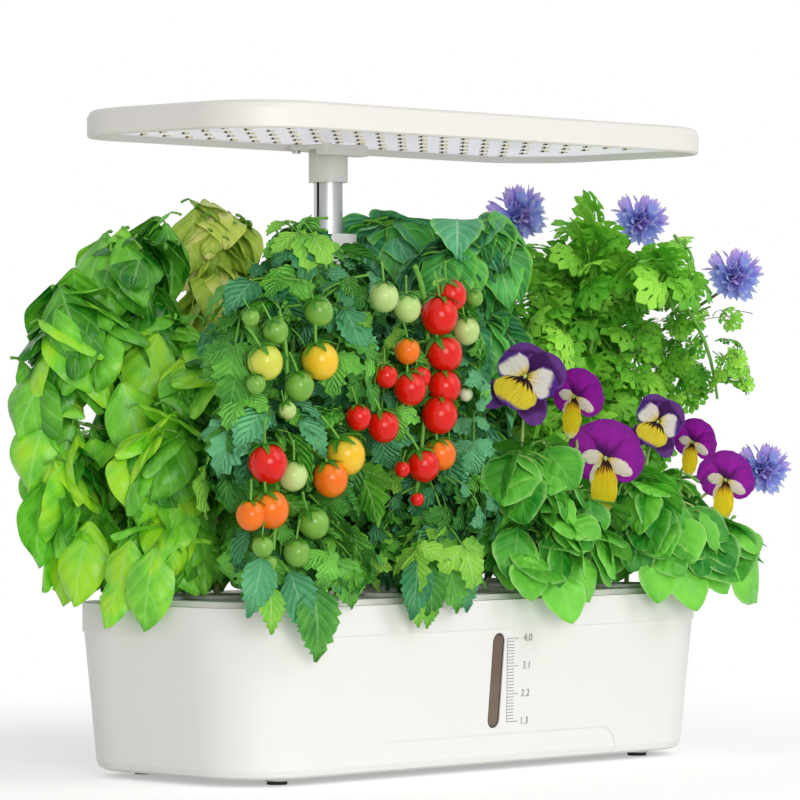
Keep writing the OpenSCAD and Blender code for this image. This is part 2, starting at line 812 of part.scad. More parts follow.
module pump_housing() {
    duct_z = impeller_z + chamber_d / 2 - duct_d / 2 - 0.5;
    color("#3A3D40")
    difference() {
        union() {
            translate([0, pump_y, pump_z0]) rounded_block(pump_l, pump_w, 5, pump_h);
            translate([0, riser_y, pump_z1 - past]) cylinder(d = nozzle_d, h = nozzle_h + past);
        }
        // pump chamber, rotor well and shaft seat
        translate([0, pump_front - past, impeller_z])
            rotate([-90, 0, 0]) cylinder(d = chamber_d, h = chamber_t + past);
        translate([0, pump_front, impeller_z])
            rotate([-90, 0, 0]) cylinder(d = rotor_d + 1.6, h = chamber_t + rotor_l + 1);
        translate([0, pump_front, impeller_z])
            rotate([-90, 0, 0]) cylinder(d = shaft_d, h = chamber_t + rotor_l + 5);
        // outlet duct, its rise and the pipe's seat
        translate([0, pump_front + chamber_t / 2, duct_z])
            rotate([-90, 0, 0]) cylinder(d = duct_d, h = riser_y - pump_front - chamber_t / 2);
        translate([0, riser_y, duct_z - duct_d / 2 - 0.5]) cylinder(d = riser_d - 2.4, h = pump_h / 2);
        translate([0, riser_y, pipe_seat_z]) cylinder(d = riser_d + 2 * run_gap, h = nozzle_h + 3);
        translate([lead_x, riser_y, pump_z1 - 3]) cylinder(d = lead_d, h = 4);
    }
}

// Front cover with the inlet grille and a frame that holds the filter sponge
module pump_cover() {
    y0 = pump_front - cover_t;
    color("#3A3D40")
    difference() {
        union() {
            translate([-pump_l / 2, y0, pump_z0]) cube([pump_l, cover_t, pump_h]);
            difference() {
                translate([-pump_l / 2, y0 - cover_frame, pump_z0]) cube([pump_l, cover_frame, pump_h]);
                translate([-pump_l / 2 + 2, y0 - cover_frame - past, pump_z0 + 2])
                    cube([pump_l - 4, cover_frame + past, pump_h - 4]);
            }
        }
        for (k = [-3:3])
            if (k != 0)
                translate([k * 3 - 0.9, y0 - past, impeller_z - 7]) cube([1.8, cover_t + 2 * past, 14]);
        translate([0, pump_front - 1.5, impeller_z])
            rotate([-90, 0, 0]) cylinder(d = shaft_d, h = 3);
    }
}

module impeller_shaft() {
    color("#B9BCBF")
    translate([0, pump_front - 1.5, impeller_z])
        rotate([-90, 0, 0]) cylinder(d = shaft_d - 0.04, h = chamber_t + rotor_l + 6.5);
}

module impeller() {
    disc_t = 1.6;
    vane_h = 4.6;
    color("#DADBDD")
    translate([0, pump_front + 0.6, impeller_z])
        rotate([-90, 0, 0])
            difference() {
                union() {
                    translate([0, 0, vane_h]) cylinder(d = chamber_d - 3, h = disc_t);
                    cylinder(d = 6, h = vane_h + 1);
                    for (k = [0:impeller_vanes - 1])
                        rotate([0, 0, 360 / impeller_vanes * k])
                            translate([1.5, -0.6, 0]) cube([chamber_d / 2 - 4, 1.2, vane_h + 0.5]);
                    translate([0, 0, vane_h]) cylinder(d = rotor_d, h = rotor_l + chamber_t - vane_h - 0.6);
                }
                translate([0, 0, -past]) cylinder(d = shaft_d + 0.12, h = rotor_l + chamber_t + 2 * past);
            }
}

module filter_sponge() {
    color("#1F2224")
    translate([-pump_l / 2 + 2.1, pump_front - cover_t - cover_frame + 0.5, pump_z0 + 2.1])
        cube([pump_l - 4.2, cover_frame - 0.6, pump_h - 4.2]);
}

// The pump's lead runs up behind the pipe, then back and up to the circuit board
module pump_lead() {
    z_run = deck_z - 16;
    y_up = base_y0 + 5;
    color("#222222") {
        translate([lead_x, riser_y, pump_z1 - 2.9]) cylinder(d = lead_d - 0.1, h = z_run - pump_z1 + 2.9);
        translate([lead_x, riser_y, z_run]) sphere(d = lead_d - 0.1);
        translate([lead_x, riser_y, z_run])
            rotate([-90, 0, 0]) cylinder(d = lead_d - 0.1, h = y_up - riser_y);
        translate([lead_x, y_up, z_run]) sphere(d = lead_d - 0.1);
        translate([lead_x, y_up, z_run]) cylinder(d = lead_d - 0.1, h = pcb_z - z_run);
    }
}

// ---------------------------------------------------------------- plants

// One rounded mass of leaves: centre and half sizes, measured from the middle of its pod's top
module leaf_mass(at, half) {
    hull() translate(at) scale(half) sphere(1, $fn = leaf_fn);
}

// A stalk through a few points, tapering to its tip
module stalk(points, r0, r1) {
    n = len(points) - 1;
    for (k = [0:n - 1]) {
        ra = r0 + (r1 - r0) * k / n;
        rb = r0 + (r1 - r0) * (k + 1) / n;
        hull() {
            translate(points[k]) sphere(ra, $fn = 8);
            translate(points[k + 1]) sphere(rb, $fn = 8);
        }
    }
}

// The space that belongs to one plant, kept short of its neighbours' by cell_gap
module cell(x0, x1, y0, y1, z0 = 0, z1 = far) {
    translate([x0 + cell_gap, y0 + cell_gap, z0])
        cube([x1 - x0 - 2 * cell_gap, y1 - y0 - 2 * cell_gap, z1 - z0]);
}

// A plant rooted in its sponge: the root stub, the stem, the leaf masses and any stalks
module plant(col, row, stem, masses) {
    translate([pod_x[col], pod_y[row], pod_top]) {
        translate([0, 0, stem_foot - pod_top]) cylinder(r = stem_r, h = pod_top - stem_foot + 2, $fn = 12);
        stalk(concat([[0, 0, 0]], stem), stem_r, 1.4);
        for (m = masses) leaf_mass([m[0], m[1], m[2]], [m[3], m[4], m[5]]);
    }
}

// Leaf that hangs outside the tank's front edge, below its rim
module front_overhang(x, reach, half) {
    translate([x, -tank_d / 2 - half[1] - 1.5, tank_top - reach]) leaf_mass([0, 0, 0], half);
}

// The space that the filler flap swings through
module flap_swing() {
    translate([-flap_w / 2 - 1, pin_y - flap_d - 1, field_z - past])
        cube([flap_w + 2, flap_d + 6, flap_d + 3]);
}

module tomato_left() {
    color("#3E7D2A")
    intersection() {
        union() {
            plant(0, 0, [[-2, -8, 80], [-4, -16, 190]],
                  [[-4, -18, 192, 24, 20, 20], [-30, -26, 148, 44, 34, 32], [16, -26, 142, 26, 32, 34],
                   [-38, -26, 88, 42, 34, 34], [10, -26, 76, 32, 34, 36], [-16, -26, 28, 44, 30, 24]]);
            front_overhang(pod_x[0] - 6, 14, [13, 4, 36]);
        }
        cell(-far, -col_split, -far, -row_split);
    }
}

module basil_low() {
    color("#7CB52A")
    intersection() {
        union() {
            plant(0, 1, [[-2, 0, 60], [-4, 0, 125]],
                  [[-4, 0, 118, 30, 24, 26], [-32, 0, 74, 40, 25, 34], [8, 0, 74, 32, 25, 36],
                   [-36, 0, 30, 34, 25, 22], [4, 0, 26, 34, 25, 20]]);
            translate([-tank_l / 2 - 12, -4, tank_top + 8]) leaf_mass([0, 0, 0], [10, 16, 20]);
        }
        cell(-far, -col_split, -row_split, row_split);
    }
}

module basil_tall() {
    color("#7CB52A")
    intersection() {
        union() {
            plant(0, 2, [[-2, 6, 80], [-6, 12, 190]],
                  [[-4, 14, 184, 32, 26, 26], [-42, 24, 142, 38, 32, 34], [6, 14, 130, 40, 30, 36],
                   [-74, 32, 104, 24, 26, 28], [-50, 16, 56, 30, 30, 34], [-10, 12, 66, 44, 34, 40],
                   [-30, 12, 22, 40, 28, 18]]);
            translate([-tank_l / 2 - 10, pod_y[2] - 4, tank_top + 13]) leaf_mass([0, 0, 0], [12, 16, 26]);
        }
        cell(-far, -col_split, row_split, far);
    }
}

module tomato_middle() {
    color("#4B8B2E")
    intersection() {
        union() {
            plant(1, 0, [[0, -10, 70], [4, -22, 165]],
                  [[8, -28, 156, 32, 28, 24], [-20, -26, 116, 30, 32, 34], [16, -28, 104, 30, 34, 34],
                   [-8, -30, 58, 36, 32, 30], [-6, -28, 18, 36, 26, 18]]);
            front_overhang(pod_x[1] - 6, 3, [27, 6, 18]);
        }
        difference() {
            cell(-col_split, front_split, -far, -row_split);
            flap_swing();
        }
    }
}

module tomato_back() {
    color("#3A7328")
    intersection() {
        plant(1, 1, [[0, 0, 80], [2, 2, 180]],
              [[2, 0, 176, 34, 24, 28], [-12, 0, 130, 36, 25, 36], [18, 0, 126, 30, 25, 34],
               [-10, 0, 76, 38, 25, 38], [16, 0, 70, 34, 25, 36], [0, 0, 26, 44, 25, 24]]);
        cell(-col_split, 0, -row_split, row_split);
    }
}

module basil_olive() {
    color("#7C8A3A")
    intersection() {
        plant(1, 2, [[-6, 14, 90], [-10, 34, 205]],
              [[-10, 36, 204, 30, 22, 24], [-10, 28, 158, 36, 34, 36], [-12, 20, 104, 34, 38, 40],
               [-14, 8, 56, 32, 32, 32], [-14, 26, 40, 30, 28, 26]]);
        cell(-col_split, -post_clear, row_split, far);
    }
}

module pansy_left() {
    color("#5C9A3A")
    intersection() {
        union() {
            plant(2, 0, [[-4, -16, 40], [-6, -22, 74]],
                  [[-12, -28, 27, 46, 36, 24], [-38, -34, 56, 20, 24, 26], [22, -30, 60, 24, 28, 30],
                   [-8, -30, 66, 30, 26, 26], [-40, -44, 121, 20, 9, 21], [14, -34, 112, 16, 11, 18]]);
            translate([pod_x[2], pod_y[0], pod_top]) {
                stalk([[-10, -28, 60], [-36, -40, 115]], 1.6, 1.4);
                stalk([[10, -28, 60], [14, -34, 105]], 1.6, 1.4);
            }
            front_overhang(pod_x[2] - 14, 0, [16, 5, 14]);
        }
        difference() {
            cell(front_split, col_split, -far, -row_split);
            flap_swing();
        }
    }
}

module aubergine() {
    color("#2F6E2C")
    intersection() {
        plant(2, 1, [[0, 0, 80], [0, 4, 185]],
              [[0, 0, 182, 40, 25, 26], [-20, 0, 134, 30, 25, 34], [20, 0, 130, 34, 25, 36],
               [-16, 0, 80, 34, 25, 36], [18, 0, 74, 34, 25, 36], [0, 0, 26, 44, 25, 24],
               [24, -4, 200, 24, 21, 22]]);
        cell(0, col_split, -row_split, row_split);
    }
}

module cucumber() {
    color("#2E6A2E")
    intersection() {
        plant(2, 2, [[6, 12, 90], [10, 18, 195]],
              [[8, 16, 202, 40, 32, 22], [10, 18, 156, 34, 36, 34], [8, 14, 106, 36, 36, 38],
               [12, 8, 58, 32, 32, 32], [10, 26, 40, 32, 28, 26]]);
        cell(post_clear, col_split, row_split, far);
    }
}

module pansy_right() {
    color("#5C9A3A")
    intersection() {
        union() {
            plant(3, 0, [[-4, -12, 34], [-4, -20, 58]],
                  [[-26, -28, 38, 22, 34, 36], [12, -30, 34, 40, 34, 34], [44, -32, 26, 20, 26, 24],
                   [-42, -32, 78, 18, 12, 18], [-6, -30, 96, 14, 12, 14], [30, -30, 87, 14, 12, 14],
                   [52, -34, 62, 12, 12, 16]]);
            translate([pod_x[3], pod_y[0], pod_top]) {
                stalk([[-20, -28, 40], [-40, -32, 76]], 1.6, 1.4);
                stalk([[0, -28, 40], [-6, -30, 92]], 1.6, 1.4);
                stalk([[16, -28, 40], [30, -30, 84]], 1.6, 1.4);
                stalk([[40, -30, 36], [52, -34, 58]], 1.6, 1.4);
            }
            front_overhang(pod_x[3] + 4, 2, [16, 5, 14]);
        }
        cell(col_split, low_end_x, -far, -row_split);
    }
}

module parsley() {
    color("#4FA02C")
    intersection() {
        plant(3, 1, [[4, 0, 90], [10, -4, 150]],
              [[-14, 0, 150, 34, 25, 36], [34, 0, 150, 40, 25, 40], [20, -12, 190, 44, 34, 24],
               [44, -58, 176, 34, 44, 20], [0, 0, 96, 36, 25, 40], [40, 0, 92, 42, 25, 42],
               [8, 0, 34, 42, 25, 28], [79, -50, 140, 11, 30, 36], [50, 0, 52, 34, 25, 36],
               [79, -20, 138, 11, 22, 32]]);
        union() {
            cell(col_split, parsley_end_x, -row_split, row_split);
            cell(col_split, parsley_end_x, -far, 0, pansy_lift_top);
            cell(low_end_x, hang_end_x, -far, 0, parsley_hang_z, pansy_lift_top + 2);
        }
    }
}

module blue_flowers() {
    color("#5B63B8")
    intersection() {
        union() {
            plant(3, 2, [[2, 8, 90], [0, 2, 180]],
                  [[4, 6, 34, 42, 28, 28], [6, 12, 82, 44, 34, 38], [4, 12, 134, 42, 32, 36],
                   [0, -12, 224, 19, 17, 15], [96, -28, 222, 17, 17, 17], [92, -108, 186, 18, 17, 16],
                   [86, -136, 67, 16, 16, 16], [30, 10, 130, 34, 26, 22]]);
            translate([pod_x[3], pod_y[2], pod_top]) {
                stalk([[0, 4, 150], [0, -12, 218]], 1.8, 1.4);
                stalk([[40, 6, 130], [80, -6, 180], [96, -28, 214]], 1.8, 1.4);
                stalk([[44, 6, 110], [96, -20, 140], [92, -108, 180]], 1.8, 1.4);
                stalk([[26, 8, 62], [98, -20, 60], [98, -90, 66], [86, -136, 62]], 1.8, 1.4);
            }
        }
        union() {
            cell(col_split, far, row_split, far);
            cell(hang_end_x, far, -far, row_split + 2);
            cell(parsley_end_x, far, -far, row_split + 2, pansy_lift_top + 2 + cell_gap);
            cell(low_end_x, far, -far, -row_split, 0, parsley_hang_z - cell_gap);
        }
    }
}

// ---------------------------------------------------------------- nodes

tank_shell();
rubber_feet();
level_window();
window_gasket();
planting_deck();
post_base();
base_screws();
control_board();
dc_inlet();
lower_tube();
guide_bush();
pump_riser();
pump_housing();
pump_cover();
impeller_shaft();
impeller();
filter_sponge();
pump_lead();
flap_pin();
filler_flap();
power_button();
timer_button();
inner_pole();
pole_glide();
lamp_bracket();
lamp_shell();
light_board();
light_chips();
lamp_screws();
light_driver();
basket(0, 0);  // basket_a1
basket(0, 1);  // basket_a2
basket(0, 2);  // basket_a3
basket(1, 0);  // basket_b1
basket(1, 1);  // basket_b2
basket(1, 2);  // basket_b3
basket(2, 0);  // basket_c1
basket(2, 1);  // basket_c2
basket(2, 2);  // basket_c3
basket(3, 0);  // basket_d1
basket(3, 1);  // basket_d2
basket(3, 2);  // basket_d3
sponge(2, 0);  // sponge_c1
sponge(3, 0);  // sponge_d1
grow_sponges();
tomato_left();
basil_low();
basil_tall();
tomato_middle();
tomato_back();
basil_olive();
pansy_left();
aubergine();
cucumber();
pansy_right();
parsley();
blue_flowers();
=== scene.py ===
"""Countertop hydroponic garden: finishes, planting and stage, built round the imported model."""

import math
import random

import bmesh
import bpy
import numpy as np
from mathutils import Matrix, Vector


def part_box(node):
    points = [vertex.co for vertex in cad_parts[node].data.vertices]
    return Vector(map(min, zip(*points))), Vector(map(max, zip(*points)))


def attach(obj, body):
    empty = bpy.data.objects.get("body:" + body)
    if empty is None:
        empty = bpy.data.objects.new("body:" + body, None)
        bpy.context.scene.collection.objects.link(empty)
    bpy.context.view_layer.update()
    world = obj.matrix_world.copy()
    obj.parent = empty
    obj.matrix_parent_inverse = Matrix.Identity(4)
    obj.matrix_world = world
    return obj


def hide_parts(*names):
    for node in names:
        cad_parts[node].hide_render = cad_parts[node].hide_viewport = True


bl_info = {
    "name": "Countertop hydroponic garden",
    "version": (1, 0, 0),
    "blender": (4, 5, 0),
    "location": "3D View > Sidebar > Garden",
    "description": "Dresses the hydroponic garden with its planting, finishes and studio stage",
    "category": "Object",
}

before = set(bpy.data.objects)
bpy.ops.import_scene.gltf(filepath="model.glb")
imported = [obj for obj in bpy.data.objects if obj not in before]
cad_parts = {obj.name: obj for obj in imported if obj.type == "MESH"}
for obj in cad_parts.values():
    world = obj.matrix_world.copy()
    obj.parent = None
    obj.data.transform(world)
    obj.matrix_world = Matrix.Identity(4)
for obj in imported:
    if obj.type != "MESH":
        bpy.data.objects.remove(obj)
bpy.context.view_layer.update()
MM = 0.001

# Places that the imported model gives, in millimetres
DECK_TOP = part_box("planting_deck")[1].z / MM
POD_X = {"a": -146.0, "b": -52.0, "c": 52.0, "d": 146.0}
POD_Y = {"1": -50.0, "2": 0.0, "3": 50.0}
POD_TOP = 104.0
COLUMN_SPLIT = 99.5
ROW_SPLIT = 25.5
FRONT_SPLIT = -11.0
POST_CLEAR = 21.5
LAMP_LOW = 342.0
PANSY_TOP = 221.0
FLAP_SWING = ((-22.0, -66.0, 100.0), (22.0, -31.0, 132.0))
STEM_ROOT = 30.0

# Limits of the planting in mm: its front and back, the back of the leaves that hang before the tank, and
# where those and the leaves over the rim start
FRONT, BACK = -118.0, 118.0
TANK_FACE = -86.5
OVER_RIM = -92.0

# In metres: the water's height in the window, and the size of the groove down the pole
WATER_LINE = 52 * MM
GROOVE_DEPTH, GROOVE_HALF = 1.3 * MM, 1.05 * MM


# ------------------------------------------------------------------ small tools


def linear(code):
    """An sRGB hex colour as linear RGBA."""
    parts = [int(code[i : i + 2], 16) / 255 for i in (1, 3, 5)]
    return [p / 12.92 if p <= 0.04045 else ((p + 0.055) / 1.055) ** 2.4 for p in parts] + [1.0]


def add(tree, kind, inputs=None, **settings):
    """Adds one node with its settings and its input values or links."""
    node = tree.nodes.new(kind)
    for key, value in settings.items():
        setattr(node, key, value)
    for key, value in (inputs or {}).items():
        if isinstance(value, bpy.types.NodeSocket):
            tree.links.new(value, node.inputs[key])
        else:
            node.inputs[key].default_value = value
    return node


def bare_material(name):
    """A new material with an empty node tree; returns both."""
    made = bpy.data.materials.new(name)
    made.use_nodes = True
    made.node_tree.nodes.clear()
    return made, made.node_tree


def surface(name, **sockets):
    """A new material with one Principled shader whose sockets are set; returns it and its tree."""
    made, tree = bare_material(name)
    shader = add(tree, "ShaderNodeBsdfPrincipled", {k.replace("_", " "): v for k, v in sockets.items()})
    shader.name = "shader"
    add(tree, "ShaderNodeOutputMaterial", {"Surface": shader.outputs[0]})
    return made, tree


def feed(tree, socket, source):
    """Links a source into the Principled shader of a tree."""
    tree.links.new(source, tree.nodes["shader"].inputs[socket])


def object_place(tree):
    """The place of a point in its object's own frame."""
    return add(tree, "ShaderNodeTexCoord").outputs["Object"]


def maths(tree, operation, first, second=None):
    """The result of one math node."""
    values = {0: first} if second is None else {0: first, 1: second}
    return add(tree, "ShaderNodeMath", values, operation=operation).outputs[0]


def distance(tree, source):
    """The length of a vector."""
    return add(tree, "ShaderNodeVectorMath", {0: source}, operation="LENGTH").outputs["Value"]


def blend(tree, amount, low, high, how="MIX"):
    """The colour between two, each given as an sRGB code, as values or as a socket."""
    low, high = (linear(c) if isinstance(c, str) else c for c in (low, high))
    mixed = add(tree, "ShaderNodeMixRGB", {"Fac": amount, "Color1": low, "Color2": high}, blend_type=how)
    return mixed.outputs[0]


def remap(tree, value, start, end, low=0.0, high=1.0, smooth=True):
    """Maps the range from start to end onto low to high, held at both ends."""
    ends = {"From Min": start, "From Max": end, "To Min": low, "To Max": high}
    return add(tree, "ShaderNodeMapRange", {"Value": value, **ends},
               interpolation_type="SMOOTHSTEP" if smooth else "LINEAR").outputs[0]


def noise(tree, place, scale, detail=2.0):
    """The value of a noise at a place."""
    made = add(tree, "ShaderNodeTexNoise", {"Vector": place, "Scale": scale, "Detail": detail})
    return made.outputs["Fac"]


def stretched(tree, across, along):
    """The object's place scaled so that what is drawn on it runs along Z."""
    return add(tree, "ShaderNodeMapping", {"Vector": object_place(tree),
                                           "Scale": (across, across, along)}).outputs[0]


def emboss(tree, height, depth, strength):
    """Feeds a height into the shader's normal, with its depth in metres."""
    bump = add(tree, "ShaderNodeBump", {"Height": height, "Distance": depth, "Strength": strength})
    feed(tree, "Normal", bump.outputs[0])


def blade_place(tree):
    """How far a point lies from a blade's midrib (0 to 0.5), how far along the blade, and both as UV."""
    flat = add(tree, "ShaderNodeUVMap", uv_map="UVMap").outputs[0]
    uv = add(tree, "ShaderNodeSeparateXYZ", {"Vector": flat})
    away = maths(tree, "ABSOLUTE", maths(tree, "SUBTRACT", uv.outputs["X"], 0.5))
    return away, uv.outputs["Y"], flat


def let_light_through(tree, colour, amount):
    """Lets some light pass through thin tissue, tinted by its colour."""
    through = add(tree, "ShaderNodeBsdfTranslucent", {"Color": colour})
    thin = add(tree, "ShaderNodeMixShader", {0: amount, 1: tree.nodes["shader"].outputs[0],
                                             2: through.outputs[0]})
    tree.links.new(thin.outputs[0], tree.nodes["Material Output"].inputs["Surface"])


def seen_rays(tree):
    """1 for the rays that show a surface to the eye: straight, mirrored or passed through."""
    path = add(tree, "ShaderNodeLightPath").outputs
    seen = maths(tree, "MAXIMUM", path["Is Camera Ray"], path["Is Glossy Ray"])
    return maths(tree, "MAXIMUM", seen, path["Is Transmission Ray"])


def activate(obj):
    """Selects one object and no other, and makes it the active one."""
    deselect()
    obj.select_set(True)
    bpy.context.view_layer.objects.active = obj


def deselect():
    """Leaves edit mode and deselects every object."""
    if bpy.context.mode != "OBJECT":
        bpy.ops.object.mode_set(mode="OBJECT")
    bpy.ops.object.select_all(action="DESELECT")


def mark(obj, picked):
    """Selects the given vertices of the mesh in edit mode, and no others."""
    shape = bmesh.from_edit_mesh(obj.data)
    wanted = set(picked)
    for v in shape.verts:
        v.select = v.index in wanted
    shape.select_flush_mode()
    bmesh.update_edit_mesh(obj.data)


def settle(obj, name, *materials):
    """Leaves edit mode, puts the object's place into its mesh and gives it smooth faces."""
    activate(obj)
    bpy.ops.object.transform_apply(location=True, rotation=True, scale=True)
    bpy.ops.object.shade_smooth()
    obj.name = name
    obj.data.name = name
    obj.data.materials.clear()
    for made in materials:
        obj.data.materials.append(made)
    return obj


def join(parts, name):
    """Joins objects into the first of them."""
    deselect()
    for part in parts:
        part.select_set(True)
    bpy.context.view_layer.objects.active = parts[0]
    if len(parts) > 1:
        bpy.ops.object.join()
    parts[0].name = name
    parts[0].data.name = name
    return parts[0]


def keep_template(obj):
    """Takes a finished shape off the scene and keeps its mesh as a template to copy."""
    mesh = obj.data
    bpy.data.objects.remove(obj)
    mesh.use_fake_user = True
    return mesh


def linked(name, mesh):
    """A new object of a mesh, in the scene."""
    made = bpy.data.objects.new(name, mesh)
    bpy.context.scene.collection.objects.link(made)
    return made


def moved(mesh, matrix):
    """A copy of a mesh, moved by a matrix."""
    own = mesh.copy()
    own.use_fake_user = False
    own.transform(matrix)
    return own


def aim(at, along, up, size=1.0, spin=0.0):
    """The matrix that puts a template at a point in mm: its +Y runs along, its +Z faces up."""
    y = Vector(along).normalized()
    z = Vector(up) - y * Vector(up).dot(y)
    if z.length < 1e-4:
        z = Vector((0, 0, 1)).cross(y) if abs(y.z) < 0.9 else Vector((1, 0, 0))
        z = z - y * z.dot(y)
    z.normalize()
    x = y.cross(z)
    turn = Matrix((x, y, z)).transposed().to_4x4()
    return (Matrix.Translation(Vector(at) * MM) @ turn @ Matrix.Rotation(spin, 4, "Y")
            @ Matrix.Scale(size, 4))


def tone_of(mesh, value):
    """Stores one tone value on every point of a mesh, for its material to read."""
    field = mesh.attributes.get("tone") or mesh.attributes.new("tone", "FLOAT", "POINT")
    field.data.foreach_set("value", np.full(len(mesh.vertices), value, np.float32))


# ------------------------------------------------------------------ settings


class GardenBodySettings(bpy.types.PropertyGroup):
    """Colours and grain of the rigid parts."""

    plastic: bpy.props.FloatVectorProperty(
        name="Plastic", description="Colour of the white mouldings", subtype="COLOR",
        default=linear("#F4F2EE")[:3], min=0, max=1)
    grain: bpy.props.FloatProperty(
        name="Grain", description="Size of the moulded grain", default=0.0007, min=0.0002, max=0.003,
        subtype="DISTANCE", unit="LENGTH")
    window: bpy.props.FloatVectorProperty(
        name="Window", description="Colour of the smoked level window", subtype="COLOR",
        default=linear("#6B5646")[:3], min=0, max=1)


class GardenPlantSettings(bpy.types.PropertyGroup):
    """Sizes of the leaves and flowers."""

    basil: bpy.props.FloatProperty(
        name="Basil leaf", description="Length of a large basil leaf", default=0.045, min=0.02, max=0.06,
        subtype="DISTANCE", unit="LENGTH")
    tomato: bpy.props.FloatProperty(
        name="Tomato leaf", description="Length of a compound tomato leaf", default=0.078, min=0.04,
        max=0.12, subtype="DISTANCE", unit="LENGTH")
    broad: bpy.props.FloatProperty(
        name="Broad leaf", description="Length of an aubergine or cucumber leaf", default=0.048,
        min=0.03, max=0.07, subtype="DISTANCE", unit="LENGTH")
    pansy: bpy.props.FloatProperty(
        name="Pansy", description="Width of a large pansy flower", default=0.036, min=0.02, max=0.05,
        subtype="DISTANCE", unit="LENGTH")
    blue: bpy.props.FloatProperty(
        name="Blue flower", description="Width of a ragged blue flower", default=0.036, min=0.02,
        max=0.05, subtype="DISTANCE", unit="LENGTH")
    fullness: bpy.props.FloatProperty(
        name="Fullness", description="How densely the leaves stand", default=1.0, min=0.2, max=2.0,
        subtype="FACTOR")
    seed: bpy.props.IntProperty(name="Seed", description="Start of the random spread", default=7, min=0)


class GardenStageSettings(bpy.types.PropertyGroup):
    """Light and floor of the studio."""

    sky: bpy.props.FloatProperty(
        name="Sky", description="Strength of the even light from all round", default=0.48, min=0, max=2)
    key: bpy.props.FloatProperty(
        name="Key", description="Power of the large soft lamp", default=27.0, min=0, max=500,
        subtype="POWER", unit="POWER")
    fill: bpy.props.FloatProperty(
        name="Fill", description="Power of the soft lamp on the open side", default=43.0, min=0, max=500,
        subtype="POWER", unit="POWER")
    floor: bpy.props.FloatProperty(
        name="Floor", description="Radius of the floor", default=6.0, min=2, max=20, subtype="DISTANCE",
        unit="LENGTH")
    lens: bpy.props.FloatProperty(
        name="Lens", description="Focal length of the camera", default=207.16, min=50, max=400,
        subtype="DISTANCE_CAMERA", unit="CAMERA")


# ------------------------------------------------------------------ finishes of the rigid parts


def moulded(name, colour, rough, grain_mm=0.7, depth_mm=0.012, drift=0.012):
    """Injection-moulded plastic: an even colour with a faint satin grain that softens highlights."""
    made, tree = surface(name, Roughness=rough, IOR=1.49)
    place = object_place(tree)
    colour = linear(colour)[:3] if isinstance(colour, str) else colour[:3]
    lighter = [min(1.0, c * (1 + drift)) for c in colour] + [1.0]
    darker = [c * (1 - drift) for c in colour] + [1.0]
    feed(tree, "Base Color", blend(tree, noise(tree, place, 9.0), darker, lighter))
    emboss(tree, noise(tree, place, 1 / MM / grain_mm, 1.0), depth_mm * MM, 0.5)
    return made


def smoked_window(colour):
    """Smoked polycarbonate: brown and glossy, darker along the seal at its edge and below the water."""
    made, tree = surface("polycarbonate_smoked", Roughness=0.16, IOR=1.58, Specular_IOR_Level=0.35)
    low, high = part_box("level_window")
    radius = (high.x - low.x) / 2
    place = add(tree, "ShaderNodeSeparateXYZ", {"Vector": object_place(tree)}).outputs
    ends = {"Min": low.z + radius, "Max": high.z - radius}
    held = add(tree, "ShaderNodeClamp", {"Value": place["Z"], **ends})
    from_spine = add(tree, "ShaderNodeCombineXYZ", {
        "X": maths(tree, "SUBTRACT", place["X"], (low.x + high.x) / 2),
        "Y": maths(tree, "SUBTRACT", place["Z"], held.outputs[0])})
    edge = remap(tree, distance(tree, from_spine.outputs[0]), radius - 1.3 * MM, radius - 0.8 * MM)
    water = remap(tree, place["Z"], WATER_LINE - 6 * MM, WATER_LINE + 6 * MM)
    tint = blend(tree, water, "#71604F", list(colour) + [1.0])
    feed(tree, "Base Color", blend(tree, edge, tint, "#2F2621"))
    return made


def drawn_metal(name, hexcode, rough):
    """Drawn metal: satin, with fine lines along its length that stretch its highlights."""
    made, tree = surface(name, Roughness=rough, Metallic=1.0)
    lines = noise(tree, stretched(tree, 1400.0, 6.0), 1.0)
    paler = [min(1, c * 1.06) for c in linear(hexcode)]
    feed(tree, "Base Color", blend(tree, lines, hexcode, paler))
    emboss(tree, lines, 0.01 * MM, 0.4)
    return made


def cellular(name, dark, pale, pore_mm):
    """Open-cell foam: small pits that break up the light and keep it matt."""
    made, tree = surface(name, Roughness=0.95, Specular_IOR_Level=0.2)
    cells = add(tree, "ShaderNodeTexVoronoi", {"Vector": object_place(tree), "Scale": 1 / MM / pore_mm})
    feed(tree, "Base Color", blend(tree, cells.outputs["Distance"], dark, pale))
    emboss(tree, cells.outputs["Distance"], 0.4 * MM, 0.8)
    return made


def solder_mask_painted_glow(name, hexcode, track, pitch_mm):
    """Circuit board under solder mask: satin, with copper tracks showing faintly through, and a painted
    glow on the mask that makes the board look lit."""
    # painted glow: the mask's emission makes the board look lit, though the board is no lamp
    made, tree = surface(name, Roughness=0.42, IOR=1.5, Emission_Color=(0.97, 0.92, 1, 1),
                         Emission_Strength=0.36)
    tracks = add(tree, "ShaderNodeTexBrick", {
        "Vector": object_place(tree), "Color1": linear(hexcode), "Color2": linear(hexcode),
        "Mortar": linear(track), "Scale": 1 / MM / pitch_mm, "Mortar Size": 0.012, "Mortar Smooth": 0.3,
        "Brick Width": 3.0, "Row Height": 1.0}, offset=0.5)
    feed(tree, "Base Color", tracks.outputs["Color"])
    return made


